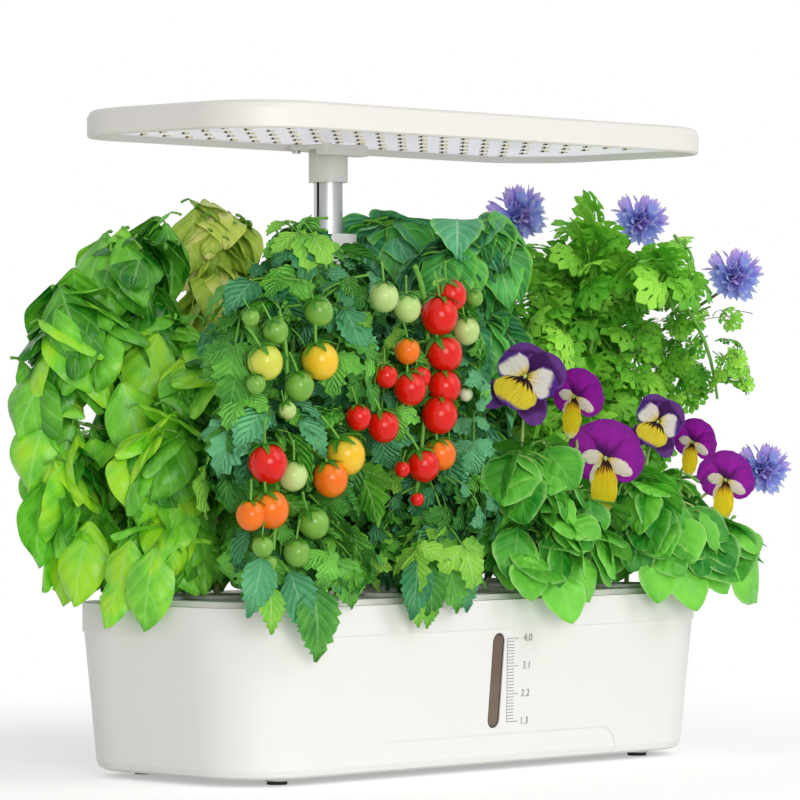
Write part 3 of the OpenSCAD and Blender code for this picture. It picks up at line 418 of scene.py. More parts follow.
class GARDEN_OT_body(bpy.types.Operator):
    """Gives every rigid part its finish."""

    bl_idname = "garden.body"
    bl_label = "Rigid parts"

    def execute(self, context):
        look = context.scene.garden_body
        grain = look.grain / MM
        finishes = {
            moulded("abs_moulded_white", look.plastic, 0.42, grain): [
                "tank_shell", "planting_deck", "post_base", "filler_flap"],
            moulded("abs_moulded_cream", "#EBE8E1", 0.42, grain): ["lamp_bracket", "lamp_shell"],
            moulded("abs_moulded_button", "#E9E7E3", 0.35): ["power_button", "timer_button"],
            moulded("acetal_turned_bush", "#DEDCD8", 0.4): ["guide_bush"],
            moulded("polypropylene_moulded_basket", "#EFEDE8", 0.5): [
                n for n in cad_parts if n.startswith("basket_")],
            moulded("steel_powder_coated_tube", "#E8E7E4", 0.36, 0.5, 0.02): ["lower_tube"],
            moulded("abs_moulded_black", "#26282A", 0.45): ["dc_inlet", "pole_glide", "pump_lead"],
            moulded("abs_moulded_pump_case", "#3A3D40", 0.5, 0.8, 0.02): ["pump_housing", "pump_cover"],
            moulded("rubber_moulded_foot", "#1B1B1B", 0.75, 1.2, 0.05, 0.08): [
                "rubber_feet", "window_gasket"],
            moulded("pvc_extruded_pipe", "#D8D6D2", 0.35): ["pump_riser", "impeller"],
            moulded("abs_moulded_driver", "#6F747A", 0.5): ["light_driver"],
            smoked_window(look.window): ["level_window"],
            drawn_metal("aluminium_drawn_pole", "#C2C3C3", 0.42): ["inner_pole"],
            drawn_metal("steel_rolled_bright", "#B9BCBF", 0.28): [
                "base_screws", "lamp_screws", "impeller_shaft", "flap_pin"],
            cellular("polyurethane_foam_filter", "#101214", "#2C3034", 1.4): ["filter_sponge"],
            cellular("peat_foam_root_sponge", "#2A221B", "#5A4A3C", 1.8): [
                "sponge_c1", "sponge_d1", "grow_sponges"],
            solder_mask_painted_glow("board_green_masked", "#2F6B45", "#3F7D55", 2.5): ["control_board"],
            solder_mask_painted_glow("board_white_masked", "#E8E2F8", "#D8D2EA", 9.0): ["light_board"],
        }
        for made, nodes in finishes.items():
            for node in nodes:
                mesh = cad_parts[node].data
                mesh.materials.clear()
                mesh.materials.append(made)
        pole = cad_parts["inner_pole"].data
        # painted shade: the faces inside the groove get a dark metal that stands for the shade in it
        pole.materials.append(drawn_metal("aluminium_anodised_groove", "#5A5B5A", 0.5))
        low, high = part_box("inner_pole")
        middle = (low.y + high.y) / 2
        for face in pole.polygons:
            if face.center.x < low.x + GROOVE_DEPTH and abs(face.center.y - middle) < GROOVE_HALF:
                face.material_index = 1
        return {"FINISHED"}


# ------------------------------------------------------------------ level scale and light chips


def front_of_tank(z):
    """Y of the tank's drafted front face at a height, in mm, and its lean as an angle."""
    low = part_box("tank_shell")[0]
    band, under_band, draft = 1.0, 82.5, 7.0 / 73.5
    return low.y / MM + band + draft * (under_band - z), math.atan(draft)


class GARDEN_OT_scale(bpy.types.Operator):
    """Prints the level scale beside the window: a rule with ticks and plain numerals."""

    bl_idname = "garden.scale"
    bl_label = "Level scale"

    def execute(self, context):
        ink, tree = surface("ink_screen_printed_grey", Roughness=0.6, Specular_IOR_Level=0.3)
        # printed grey that lets a little white through between the screen's dots
        dots = noise(tree, object_place(tree), 2600.0)
        feed(tree, "Base Color", blend(tree, dots, "#77787A", "#A5A6A8"))
        # in mm: the lowest and the highest mark, the rule's slant beside the window, and its lines
        low, high, count, every = 28.1, 76.5, 27, 9
        left, slant, numeral_left, numeral_slant = 4.9, 0.085, 18.6, 0.03
        long, short, thick, line, lift, deep = 9.6, 6.0, 0.42, 0.45, 0.03, 0.025
        step = (high - low) / count
        parts = []

        def bar(x0, x1, z, tall):
            deselect()
            y, lean = front_of_tank(z)
            bpy.ops.mesh.primitive_plane_add(size=1, rotation=(math.pi / 2 + lean, 0, 0),
                                             location=((x0 + x1) / 2 * MM, (y - lift) * MM, z * MM))
            made = context.object
            made.scale = ((x1 - x0) * MM, tall * MM, 1)
            bpy.ops.object.transform_apply(location=True, rotation=True, scale=True)
            bpy.ops.object.mode_set(mode="EDIT")
            bpy.ops.mesh.select_all(action="SELECT")
            bpy.ops.mesh.extrude_region_move(TRANSFORM_OT_translate={"value": (0, deep * MM, 0)})
            bpy.ops.mesh.select_all(action="SELECT")
            bpy.ops.mesh.normals_make_consistent(inside=False)
            bpy.ops.object.mode_set(mode="OBJECT")
            parts.append(made)

        for k in range(count + 1):
            z = high + (low - high) * k / count
            start = left + (high - z) * slant
            bar(start, start + (short if k % every else long), z, thick)
            if k < count:
                bar(start, start + line, z - step / 2, step)
        for k, words in enumerate(("4.0", "3.1", "2.2", "1.3")):
            z = high + (low - high) * k / 3
            y, lean = front_of_tank(z)
            place = (numeral_left + (high - z) * numeral_slant, y - lift, z - 1.9)
            deselect()
            bpy.ops.object.text_add(location=[c * MM for c in place],
                                    rotation=(math.pi / 2 + lean, 0, 0))
            numeral = context.object.data
            numeral.body = words
            numeral.size = 6.2 * MM
            numeral.extrude = 0.012 * MM
            numeral.resolution_u = 3
            bpy.ops.object.convert(target="MESH")
            parts.append(context.object)
        made = settle(join(parts, "level_scale"), "level_scale", ink)
        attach(made, "tank")
        return {"FINISHED"}


class GARDEN_OT_chips(bpy.types.Operator):
    """Sets the light chips on the board: bevelled cream packages, each with a dark lens and a resistor."""

    bl_idname = "garden.chips"
    bl_label = "Light chips"

    def execute(self, context):
        package, tree = surface("epoxy_moulded_light_chip", Roughness=0.3, IOR=1.5)
        # cream resin, a little warmer in some chips than in others
        warmth = noise(tree, object_place(tree), 90.0)
        feed(tree, "Base Color", blend(tree, warmth, "#FAF0CC", "#F4E2A2"))
        dark = moulded("silicone_moulded_lens", "#2B2724", 0.15, 0.4, 0.004)
        size, tall = 4.0 * MM, 0.9 * MM
        deselect()
        bpy.ops.mesh.primitive_cube_add(size=1)
        chip = context.object
        chip.scale = (size, size * 0.8, tall)
        bpy.ops.object.transform_apply(scale=True)
        bpy.ops.object.mode_set(mode="EDIT")
        bpy.ops.mesh.select_all(action="SELECT")
        bpy.ops.mesh.bevel(offset=0.18 * MM, segments=1)
        bpy.ops.object.mode_set(mode="OBJECT")
        chip.data.materials.append(package)
        deselect()
        bpy.ops.mesh.primitive_uv_sphere_add(segments=8, ring_count=5, radius=0.85 * MM,
                                             location=(-1.9 * MM, -0.4 * MM, -0.25 * MM))
        dome = context.object
        bpy.ops.object.mode_set(mode="EDIT")
        bpy.ops.transform.resize(value=(1.0, 1.0, 0.75), center_override=(0, 0, 0))
        bpy.ops.object.mode_set(mode="OBJECT")
        dome.data.materials.append(dark)
        deselect()
        bpy.ops.mesh.primitive_cube_add(size=1, location=(3.4 * MM, 5.6 * MM, 0.05 * MM))
        resistor = context.object
        resistor.scale = (2.2 * MM, 1.2 * MM, 0.7 * MM)
        bpy.ops.object.mode_set(mode="EDIT")
        bpy.ops.mesh.select_all(action="SELECT")
        bpy.ops.mesh.bevel(offset=0.12, segments=1)
        bpy.ops.object.mode_set(mode="OBJECT")
        resistor.data.materials.append(dark)
        chip = join([chip, dome, resistor], "chip")
        activate(chip)
        bpy.ops.object.transform_apply(location=True, rotation=True, scale=True)
        bpy.ops.object.shade_smooth_by_angle(angle=math.radians(35))
        template = keep_template(chip)
        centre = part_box("light_chips")[1].z - tall / 2
        copies = [linked("chip", moved(template, Matrix.Translation((x * MM, y * MM, centre))))
                  for x, y in chip_seats()]
        made = join(copies, "light_chip_set")
        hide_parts("light_chips")
        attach(made, "lamp")
        return {"FINISHED"}


def chip_seats():
    """Places of the chips in mm: six staggered rows that leave out the bracket's seat."""
    pitch, row_pitch, middle = 17.882, 25.6, -4
    seat_half, seat_front = 21.3, 38.2
    for i in range(18):
        for j in range(6):
            x = (i - 8.5) * pitch + (j % 2 - 0.5) * (pitch / 2)
            y = middle + (j - 2.5) * row_pitch
            if not (abs(x) < seat_half and y > seat_front):
                yield x, y


# ------------------------------------------------------------------ finishes of the planting


def leaf_surface(name, dark, bright, vein, side_veins, rough, quilt, edge=None, coat=0.0,
                 vein_depth=0.45, young=None):
    """A grown leaf blade: a pale midrib with fainter side veins, tissue quilted between them, uneven
    green, and some light let through as thin leaves do."""
    made, tree = surface(name, Roughness=rough, IOR=1.42, Specular_IOR_Level=0.25, Coat_Weight=coat,
                         Coat_Roughness=0.25)
    away, along, _ = blade_place(tree)
    rib = remap(tree, away, 0.010, 0.040, min(0.8, 1.8 * vein_depth), 0.0)
    wave = maths(tree, "ADD", maths(tree, "MULTIPLY", along, side_veins),
                 maths(tree, "MULTIPLY", away, -side_veins * 0.75))
    fold = maths(tree, "PINGPONG", wave, 0.5)
    veins = maths(tree, "MAXIMUM", rib, remap(tree, fold, 0.02, 0.11, vein_depth, 0.0))
    blotch = noise(tree, object_place(tree), 55.0, 3.0)
    # tone: each leaf's own random tone, darkened by painted shade on inner leaves and raised by painted
    # light where its plant's glow adds
    tone = add(tree, "ShaderNodeAttribute", attribute_name="tone")
    level = add(tree, "ShaderNodeMath", {0: tone.outputs["Fac"],
                                         1: remap(tree, blotch, 0.3, 0.7, -0.25, 0.25, smooth=False)},
                operation="ADD", use_clamp=True).outputs[0]
    green = blend(tree, level, dark, bright)
    if young:
        green = blend(tree, remap(tree, level, 0.7, 1.0, smooth=False), green, young)
    if edge:
        green = blend(tree, remap(tree, away, 0.40, 0.5, 0.0, 0.8, smooth=False), green, edge)
    tinted = blend(tree, veins, green, vein)
    feed(tree, "Base Color", tinted)
    emboss(tree, fold, 1.2 * MM * quilt, 0.8)
    let_light_through(tree, tinted, 0.14)
    return made


def stem_surface(name, hexcode, tip):
    """A grown stem: smooth and slightly hairy, with its green running paler in streaks."""
    made, tree = surface(name, Roughness=0.5, IOR=1.42)
    feed(tree, "Base Color", blend(tree, noise(tree, stretched(tree, 300.0, 40.0), 1.0), hexcode, tip))
    return made


def fruit_skin(name, deep, light, shoulder):
    """Ripened fruit skin: thin wax over a watery flesh, glossy, greener on the shoulder at the stalk."""
    made, tree = surface(name, Roughness=0.2, IOR=1.42, Specular_IOR_Level=0.3, Coat_Weight=0.2,
                         Coat_Roughness=0.08, Subsurface_Weight=0.12, Subsurface_Scale=0.004)
    tint = blend(tree, noise(tree, object_place(tree), 120.0), deep, light)
    height = blade_place(tree)[1]
    feed(tree, "Base Color", blend(tree, remap(tree, height, 0.55, 0.95, 0.0, 0.7), tint, shoulder))
    return made


def petal_surface(name, base, middle, edge, eye=None, eye_to=0.35, edge_from=0.78):
    """A grown petal: velvety, its colour running from the throat to the rim in fine rays."""
    made, tree = surface(name, Roughness=0.6, Specular_IOR_Level=0.15, Sheen_Weight=0.1)
    away, up, flat = blade_place(tree)
    mottle = noise(tree, object_place(tree), 260.0)
    along = maths(tree, "ADD", up, maths(tree, "MULTIPLY", mottle, 0.18))
    rim = maths(tree, "MAXIMUM", along, maths(tree, "MULTIPLY", away, 2.0))
    inner = blend(tree, remap(tree, along, 0.15, 0.55), base, middle)
    tint = blend(tree, remap(tree, rim, edge_from, edge_from + 0.16), inner, edge)
    if eye:
        rays = maths(tree, "SINE", maths(tree, "MULTIPLY", away, 46.0))
        start = maths(tree, "ADD", along, maths(tree, "MULTIPLY", rays, 0.07))
        tint = blend(tree, remap(tree, start, eye_to - 0.06, eye_to + 0.06, 1.0, 0.0), tint, eye)
    fine = add(tree, "ShaderNodeVectorMath", {0: flat, 1: (24.0, 1.5, 0.0)}, operation="MULTIPLY")
    streaks = remap(tree, noise(tree, fine.outputs[0], 1.0), 0.35, 0.62, 0.66, 1.06, smooth=False)
    tint = blend(tree, 0.6, tint, streaks, "MULTIPLY")
    feed(tree, "Base Color", tint)
    let_light_through(tree, tint, 0.3)
    return made


# ------------------------------------------------------------------ leaf, petal and fruit templates

# The least half width of a blade in mm
NARROWEST = 0.05


def blade(name, length, outline, made, across=4, fold=0.0, cup=0.0, droop=0.0, ruffle=0.0, teeth=0.0):
    """A leaf or petal blade in mm, from its base at the origin along +Y, with +Z as its upper face.

    outline holds the half widths from base to tip; fold lifts both halves from the midrib, cup lowers
    the rim, droop turns the tip down in degrees, ruffle waves the rim and teeth notch it.
    """
    rows = len(outline) - 1
    deselect()
    bpy.ops.mesh.primitive_grid_add(x_subdivisions=across, y_subdivisions=rows, size=1)
    obj = bpy.context.object
    bpy.ops.object.mode_set(mode="EDIT")
    bpy.ops.mesh.select_all(action="SELECT")
    bpy.ops.transform.resize(value=(MM, length * MM, 1), center_override=(0, -0.5, 0))
    bpy.ops.transform.translate(value=(0, 0.5, 0))
    width = across + 1
    for r, half in enumerate(outline):
        mark(obj, range(r * width, (r + 1) * width))
        bpy.ops.transform.resize(value=(max(half, NARROWEST) * 2, 1, 1), center_override=(0, 0, 0))
    rims = [[r * width for r in range(1, rows)], [r * width + across for r in range(1, rows)]]
    if teeth:
        for side, rim in zip((-1, 1), rims):
            mark(obj, rim[::2])
            bpy.ops.transform.translate(value=(side * teeth * MM, teeth * 0.5 * MM, 0))
            mark(obj, rim[1::2])
            bpy.ops.transform.translate(value=(-side * teeth * 0.7 * MM, -teeth * 0.2 * MM, 0))
    if ruffle:
        for side, rim in zip((0, 1), rims):
            mark(obj, rim[side::3])
            bpy.ops.transform.translate(value=(0, 0, ruffle * MM))
            mark(obj, rim[1 - side :: 3])
            bpy.ops.transform.translate(value=(0, 0, -ruffle * MM))
    if fold or cup:
        middle = across / 2
        for c in range(width):
            part = abs(c - middle) / middle
            lift = fold * part - cup * part * part
            if abs(lift) > 1e-6:
                mark(obj, [r * width + c for r in range(1, rows + 1)])
                bpy.ops.transform.translate(value=(0, 0, lift * MM))
    if droop:
        turn = math.radians(droop) / rows
        for r in range(1, rows + 1):
            mark(obj, range(r * width, (rows + 1) * width))
            hinge = obj_point(obj, (r - 1) * width + across // 2)
            bpy.ops.transform.rotate(value=turn, orient_axis="X", center_override=hinge)
    return settle(obj, name, made)


def obj_point(obj, index):
    """Where one vertex of the mesh in edit mode stands."""
    shape = bmesh.from_edit_mesh(obj.data)
    shape.verts.ensure_lookup_table()
    return shape.verts[index].co.copy()


def stalk(name, points, radii, made, sides=1):
    """A tapering stem through points in mm, as a mesh."""
    deselect()
    bpy.ops.curve.primitive_nurbs_path_add()
    obj = bpy.context.object
    curve = obj.data
    curve.splines.clear()
    line = curve.splines.new("NURBS")
    line.points.add(len(points) - 1)
    for knot, point, radius in zip(line.points, points, radii):
        knot.co = (point[0] * MM, point[1] * MM, point[2] * MM, 1)
        knot.radius = radius
    line.order_u = min(4, len(points))
    line.use_endpoint_u = True
    curve.resolution_u = 3
    curve.bevel_depth = MM
    curve.bevel_resolution = sides
    curve.use_fill_caps = True
    curve.dimensions = "3D"
    bpy.ops.object.convert(target="MESH")
    obj = settle(bpy.context.object, name, made)
    if not obj.data.uv_layers:
        obj.data.uv_layers.new(name="UVMap")
    return obj


def placed(obj, matrix):
    """Moves an object's mesh by a matrix."""
    obj.data.transform(matrix)
    return obj


def copy_of(obj, matrix):
    """A copy of an object with its own mesh, moved by a matrix."""
    return linked(obj.name, moved(obj.data, matrix))


def with_petiole(leaf, length, radius, made):
    """A leaf template with the short stalk behind it, which bends to the leaf's back."""
    points = [(0, 0.6, 0), (0, -length * 0.45, -length * 0.25), (0, -length * 0.8, -length * 0.8)]
    tail = stalk("petiole", points, [radius * 0.8, radius, radius * 1.2], made, 0)
    return keep_template(join([leaf, tail], leaf.name))


def rounded(obj):
    """Rounds a blade's outline and its folds with one level of subdivision, applied."""
    activate(obj)
    bpy.ops.object.modifier_add(type="SUBSURF")
    smooth = obj.modifiers[-1]
    smooth.levels = smooth.render_levels = 1
    bpy.ops.object.modifier_apply(modifier=smooth.name)
    return obj


def arch(obj, degrees, length):
    """Bends a finished shape in steps along its +Y, so that its far end hangs down."""
    reach, steps = [v.co.y / MM for v in obj.data.vertices], 4
    activate(obj)
    bpy.ops.object.mode_set(mode="EDIT")
    turn = math.radians(degrees) / steps
    hinge, bent = Vector((0, length * 0.5 / steps, 0)), 0.0
    for k in range(steps):
        mark(obj, [i for i, y in enumerate(reach) if y > length * (k + 0.5) / steps])
        bpy.ops.transform.rotate(value=turn, orient_axis="X", center_override=hinge * MM)
        bent += turn
        hinge += Vector((0, math.cos(bent), -math.sin(bent))) * (length / steps)
    bpy.ops.object.mode_set(mode="OBJECT")
    return obj


# Half widths of blades from base to tip, as parts of the widest
OVATE = [0.12, 0.62, 0.92, 1.0, 0.97, 0.86, 0.68, 0.46, 0.24, 0.02]
ELLIPTIC = [0.10, 0.52, 0.82, 0.97, 1.0, 0.97, 0.88, 0.70, 0.42, 0.04]
ROUND = [0.16, 0.66, 0.92, 1.0, 1.0, 0.92, 0.72, 0.42, 0.05]
LANCE = [0.10, 0.45, 0.75, 0.95, 1.0, 0.9, 0.72, 0.5, 0.25, 0.02]
BROAD = [0.30, 0.86, 1.0, 0.98, 0.88, 0.74, 0.56, 0.38, 0.2, 0.02]
PETAL = [0.10, 0.40, 0.64, 0.83, 0.95, 1.0, 1.0, 0.94, 0.82, 0.62, 0.30]
RAY = [0.30, 0.50, 0.85, 1.0, 0.70, 0.08]
LOBE = [0.14, 0.36, 0.80, 1.0, 0.20]


def scaled(shape, half):
    """An outline with its widest half width given in mm."""
    return [w * half for w in shape]


def finer(shape):
    """An outline with a row between every two, so that its teeth stand closer."""
    return [w for a, b in zip(shape, shape[1:]) for w in (a, (a + b) / 2)] + shape[-1:]


def compound(name, leaflet, stem, reach, sizes, tip_size, hang):
    """A compound leaf: a rachis with a pair of leaflets for each size and one at its tip, hanging by an
    angle."""
    out = math.radians(64)
    parts = [stalk("rachis", [(0, -7, -2), (0, reach * 0.4, 0.6), (0, reach * 0.8, 0)],
                   [1.1, 0.8, 0.5], stem, 0)]
    parts.append(copy_of(leaflet, aim((0, reach * 0.78, 0.3), (0, 1, -0.1), (0, 0, 1), tip_size)))
    for k, size in enumerate(sizes):
        y = reach * (0.16 + 0.55 * k)
        for side in (-1, 1):
            along, up = (side * math.sin(out), math.cos(out), -0.22), (side * 0.15, 0, 1)
            parts.append(copy_of(leaflet, aim((side * 0.5, y + side, 0.8), along, up, size)))
    bpy.data.objects.remove(leaflet)
    whole = join(parts, name)
    arch(whole, hang, reach * 1.3)
    return keep_template(whole)


# ------------------------------------------------------------------ growing a plant


def points_of(mesh, matrix):
    """The points of a template under a matrix, in mm."""
    flat = np.empty(len(mesh.vertices) * 3)
    mesh.vertices.foreach_get("co", flat)
    return (flat.reshape(-1, 3) @ np.array(matrix.to_3x3()).T + np.array(matrix.translation)) / MM


def kept_inside(mesh, matrix, cell, bans=()):
    """The matrix shifted so that the copy stays in its plant's cell, or None where it can't."""
    points = points_of(mesh, matrix)
    low, high = points.min(0), points.max(0)
    shift = Vector((0, 0, 0))
    for a in range(3):
        if high[a] - low[a] > cell[1][a] - cell[0][a]:
            return None
        if low[a] < cell[0][a]:
            shift[a] = cell[0][a] - low[a]
        elif high[a] > cell[1][a]:
            shift[a] = cell[1][a] - high[a]
    low, high = low + np.array(shift), high + np.array(shift)
    for ban in bans:
        if all(high[a] > ban[0][a] and low[a] < ban[1][a] for a in range(3)):
            return None
    return Matrix.Translation(shift * MM) @ matrix


def depth_in(point, mass):
    """How deep a point lies in an ellipsoid mass: 0 at its centre, 1 at its surface."""
    return math.sqrt(sum(((point[a] - mass[a]) / mass[3 + a]) ** 2 for a in range(3)))


# How deep the inner and the outer leaves stand in their mass (0 middle, 1 surface), how deep in another
#  mass they aren't set, how far down a mass's side they go, and how much painted shade darkens the inner
#  ones
INNER_DEPTH, OUTER_DEPTH = (0.4, 0.7), (0.72, 1.0)
INNER_BURIED, OUTER_BURIED = 0.5, 0.78
LOWEST = -0.7
INNER_PAINTED_SHADE = 0.35


def leafy(rng, masses, cell, kinds, gap, size=(0.75, 1.15), fall=(20, 65), tones=(0.2, 0.9), bans=(),
          inner=0.5, glow=None, swing=30, hold=14, sights=(), crown=(-20, 25), roll=0.45):
    """Covers ellipsoid masses with leaves that arch out of them and hang, with painted shade darkening the
    ones farther in.

    kinds holds the templates, gap the spacing in mm, inner the share of leaves inside, fall how far the
    leaves of the sides hang in degrees and crown how far those on top do. swing is how far they turn
    aside, roll how far they tip in radians and hold how much of a leaf lies behind its place in mm.
    glow(point) adds painted light to the tone, bans are boxes without leaves, and sights holds fruit and
    flowers that keep free of leaves in front.
    """
    copies, power = [], 1.6
    for mass in masses:
        centre, half = Vector(mass[:3]), Vector(mass[3:])
        area = 4 * math.pi * ((half.x * half.y) ** power + (half.x * half.z) ** power
                              + (half.y * half.z) ** power) ** (1 / power) / 3 ** (1 / power)
        outer = int(area / gap**2)
        for k in range(outer + int(outer * inner)):
            inside = k >= outer
            d = Vector((rng.gauss(0, 1), rng.gauss(0, 1), rng.gauss(0, 1))).normalized()
            depth = rng.uniform(*(INNER_DEPTH if inside else OUTER_DEPTH))
            buried = INNER_BURIED if inside else OUTER_BURIED
            point = centre + Vector((d.x * half.x, d.y * half.y, d.z * half.z)) * depth
            if any(m is not mass and depth_in(point, m) < buried for m in masses):
                continue
            if any(not cell[0][a] < point[a] < cell[1][a] for a in range(3)) or d.z < LOWEST:
                continue
            normal = Vector((d.x / half.x, d.y / half.y, d.z / half.z)).normalized()
            flat = Vector((normal.x, normal.y, 0))
            if flat.length < 0.2:
                flat = Vector((rng.gauss(0, 1), rng.gauss(0, 1), 0))
            flat = Matrix.Rotation(math.radians(rng.uniform(-swing, swing)), 3, "Z") @ flat.normalized()
            top = max(0.0, normal.z)
            down = math.radians(rng.uniform(*fall) * (1 - top) + rng.uniform(*crown) * top)
            along = flat * math.cos(down) + Vector((0, 0, -math.sin(down)))
            mesh = rng.choice(kinds)
            scale = rng.uniform(*size)
            turned = aim(point - along * hold * scale, along, flat * 0.35 + Vector((0, 0, 1)), scale,
                         rng.uniform(-roll, roll))
            matrix = kept_inside(mesh, turned, cell, bans)
            if matrix is None or covers(mesh, matrix, sights):
                continue
            # painted shade: inner leaves get a darker tone, and glow adds painted light to it
            tone = rng.uniform(*tones) * (INNER_PAINTED_SHADE if inside else 1.0) + (glow(point) if glow else 0.0)
            copies.append((mesh, matrix, min(1.0, max(0.0, tone))))
    return copies


# The side from which fruit and flowers are to be seen
OPEN_SIDE = Vector((-0.718, -0.696, 0.0))


def covers(mesh, matrix, sights):
    """Whether a copy stands before a fruit or flower, seen from the plants' open side."""
    points = points_of(mesh, matrix)
    for where, radius in sights:
        off = points - np.array(where)
        ahead = off @ np.array(OPEN_SIDE)
        aside = np.sqrt(np.maximum((off**2).sum(1) - ahead**2, 0))
        if ((ahead > -0.5 * radius) & (aside < radius)).any():
            return True
    return False


def leaf_at(mesh, at, along, up, size, tone, cell):
    """One given leaf, kept in its plant's cell."""
    matrix = kept_inside(mesh, aim(at, along, up, size), cell)
    if matrix is None:
        raise RuntimeError(f"{mesh.name} at {at} doesn't fit in its plant's space")
    return mesh, matrix, tone


def leaves_at(cell, *rows):
    """Leaves set one by one: place, direction, upper side, size, tone and template of each."""
    return [leaf_at(mesh, at, along, up, size, tone, cell) for at, along, up, size, tone, mesh in rows]


def over_rim(cell, *rows):
    """Leaves that hang down before the tank's rim: template, x, z, size, lean and tone of each."""
    return [leaf_at(mesh, (x, OVER_RIM, z), (lean, -0.25, -1), (-0.3, -1, 0.1), size, tone, cell)
            for mesh, x, z, size, lean, tone in rows]


def grow(name, copies, body, nodes, extras=()):
    """Joins the copies of a plant and its stems into one piece that stands for its CAD node."""
    parts = []
    for mesh, matrix, tone in copies:
        own = moved(mesh, matrix)
        tone_of(own, tone)
        parts.append(linked(name, own))
    for extra in extras:
        tone_of(extra.data, 0.5)
        parts.append(extra)
    made = join(parts, name)
    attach(made, body)
    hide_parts(*nodes)
    return made


def at_pod(pod, masses):
    """Masses measured from a pod's top, as masses in the row's frame."""
    x, y = POD_X[pod[0]], POD_Y[pod[1]]
    return [(m[0] + x, m[1] + y, m[2] + POD_TOP, m[3], m[4], m[5]) for m in masses]


def stem_to(pod, tips, made, thick=2.2):
    """The main stem of a plant, out of its basket, with a branch to the middle of each mass."""
    x, y = POD_X[pod[0]], POD_Y[pod[1]]
    top = max(tips, key=lambda m: m[2])
    points = [(x, y, POD_TOP - STEM_ROOT), (x, y, POD_TOP + 4),
              ((x + top[0]) / 2, (y + top[1]) / 2, (POD_TOP + top[2]) / 2), tuple(top[:3])]
    parts = [stalk("stem", points, [thick, thick, thick * 0.8, thick * 0.5], made)]
    for m in tips:
        if m is top:
            continue
        f = max(0.08, min(0.8, (m[2] - POD_TOP - 20) / (top[2] - POD_TOP)))
        fork = (x + (top[0] - x) * f, y + (top[1] - y) * f, POD_TOP + (top[2] - POD_TOP) * f)
        middle = ((fork[0] + m[0]) / 2, (fork[1] + m[1]) / 2, (fork[2] + m[2]) / 2 + 4)
        parts.append(stalk("stem", [fork, middle, tuple(m[:3])],
                           [thick * 0.7, thick * 0.55, thick * 0.35], made))
    return parts


def cell_of(x0, x1, y0, y1, z0=DECK_TOP + 2.6, z1=LAMP_LOW):
    """The box in mm that a plant's leaves keep to, so that it stays clear of its neighbours."""
    return ((x0, y0, z0), (x1, y1, z1))


# Masses of the plants, measured from their pods: x, y, z of the middle and the half sizes, in mm
TOMATO_LEFT = [(-4, -18, 192, 24, 20, 20), (-30, -26, 148, 44, 34, 32), (16, -26, 142, 26, 32, 34),
               (-38, -26, 88, 42, 34, 34), (10, -26, 76, 32, 34, 36), (-16, -26, 28, 44, 30, 24)]
BASIL_LOW = [(-4, 0, 118, 30, 24, 26), (-32, 0, 74, 40, 25, 34), (8, 0, 74, 32, 25, 36),
             (-36, 0, 30, 34, 25, 22), (4, 0, 26, 34, 25, 20)]
BASIL_TALL = [(-4, 14, 184, 32, 26, 26), (-42, 24, 142, 38, 32, 34), (6, 14, 130, 40, 30, 36),
              (-74, 32, 104, 24, 26, 28), (-50, 16, 56, 30, 30, 34), (-10, 12, 66, 44, 34, 40),
              (-30, 12, 22, 40, 28, 18)]
TOMATO_MIDDLE = [(8, -28, 156, 32, 28, 24), (-20, -26, 116, 30, 32, 34), (16, -28, 104, 30, 34, 34),
                 (-8, -30, 58, 36, 32, 30), (-6, -28, 18, 36, 26, 18)]
TOMATO_BACK = [(2, 0, 176, 34, 24, 28), (-12, 0, 130, 36, 25, 36), (18, 0, 126, 30, 25, 34),
               (-10, 0, 76, 38, 25, 38), (16, 0, 70, 34, 25, 36), (0, 0, 26, 44, 25, 24)]
BASIL_OLIVE = [(-10, 36, 204, 30, 22, 24), (-10, 28, 158, 36, 34, 36), (-12, 20, 104, 34, 38, 40),
               (-14, 8, 56, 32, 32, 32), (-14, 26, 40, 30, 28, 26)]
PANSY_LEFT = [(-12, -28, 27, 46, 36, 24), (-38, -34, 56, 20, 24, 26), (22, -30, 60, 24, 28, 30),
              (-8, -30, 66, 30, 26, 26)]
AUBERGINE = [(0, 0, 182, 40, 25, 26), (-20, 0, 134, 30, 25, 34), (20, 0, 130, 34, 25, 36),
             (-16, 0, 80, 34, 25, 36), (18, 0, 74, 34, 25, 36), (0, 0, 26, 44, 25, 24),
             (24, -4, 200, 24, 21, 22)]
CUCUMBER = [(8, 16, 202, 40, 32, 22), (10, 18, 156, 34, 36, 34), (8, 14, 106, 36, 36, 38),
            (12, 8, 58, 32, 32, 32), (10, 26, 40, 32, 28, 26)]
PANSY_RIGHT = [(-26, -28, 38, 22, 34, 36), (12, -30, 34, 40, 34, 34), (44, -32, 26, 20, 26, 24)]
PARSLEY = [(-14, 0, 150, 34, 25, 36), (34, 0, 150, 40, 25, 40), (20, -12, 190, 44, 34, 24),
           (44, -58, 176, 34, 44, 20), (0, 0, 96, 36, 25, 40), (40, 0, 92, 42, 25, 42),
           (8, 0, 34, 42, 25, 28), (79, -50, 140, 11, 30, 36), (50, 0, 52, 34, 25, 36),
           (79, -20, 138, 11, 22, 32)]
BLUE_LEAVES = [(4, 6, 34, 42, 28, 28), (6, 12, 82, 44, 34, 38), (4, 12, 134, 42, 32, 36),
               (30, 10, 130, 34, 26, 22)]

# Places of the blue flowers in mm
BLOOM_PLACES = [(146, 38, 328), (242, 22, 326), (238, -58, 290), (232, -86, 171)]

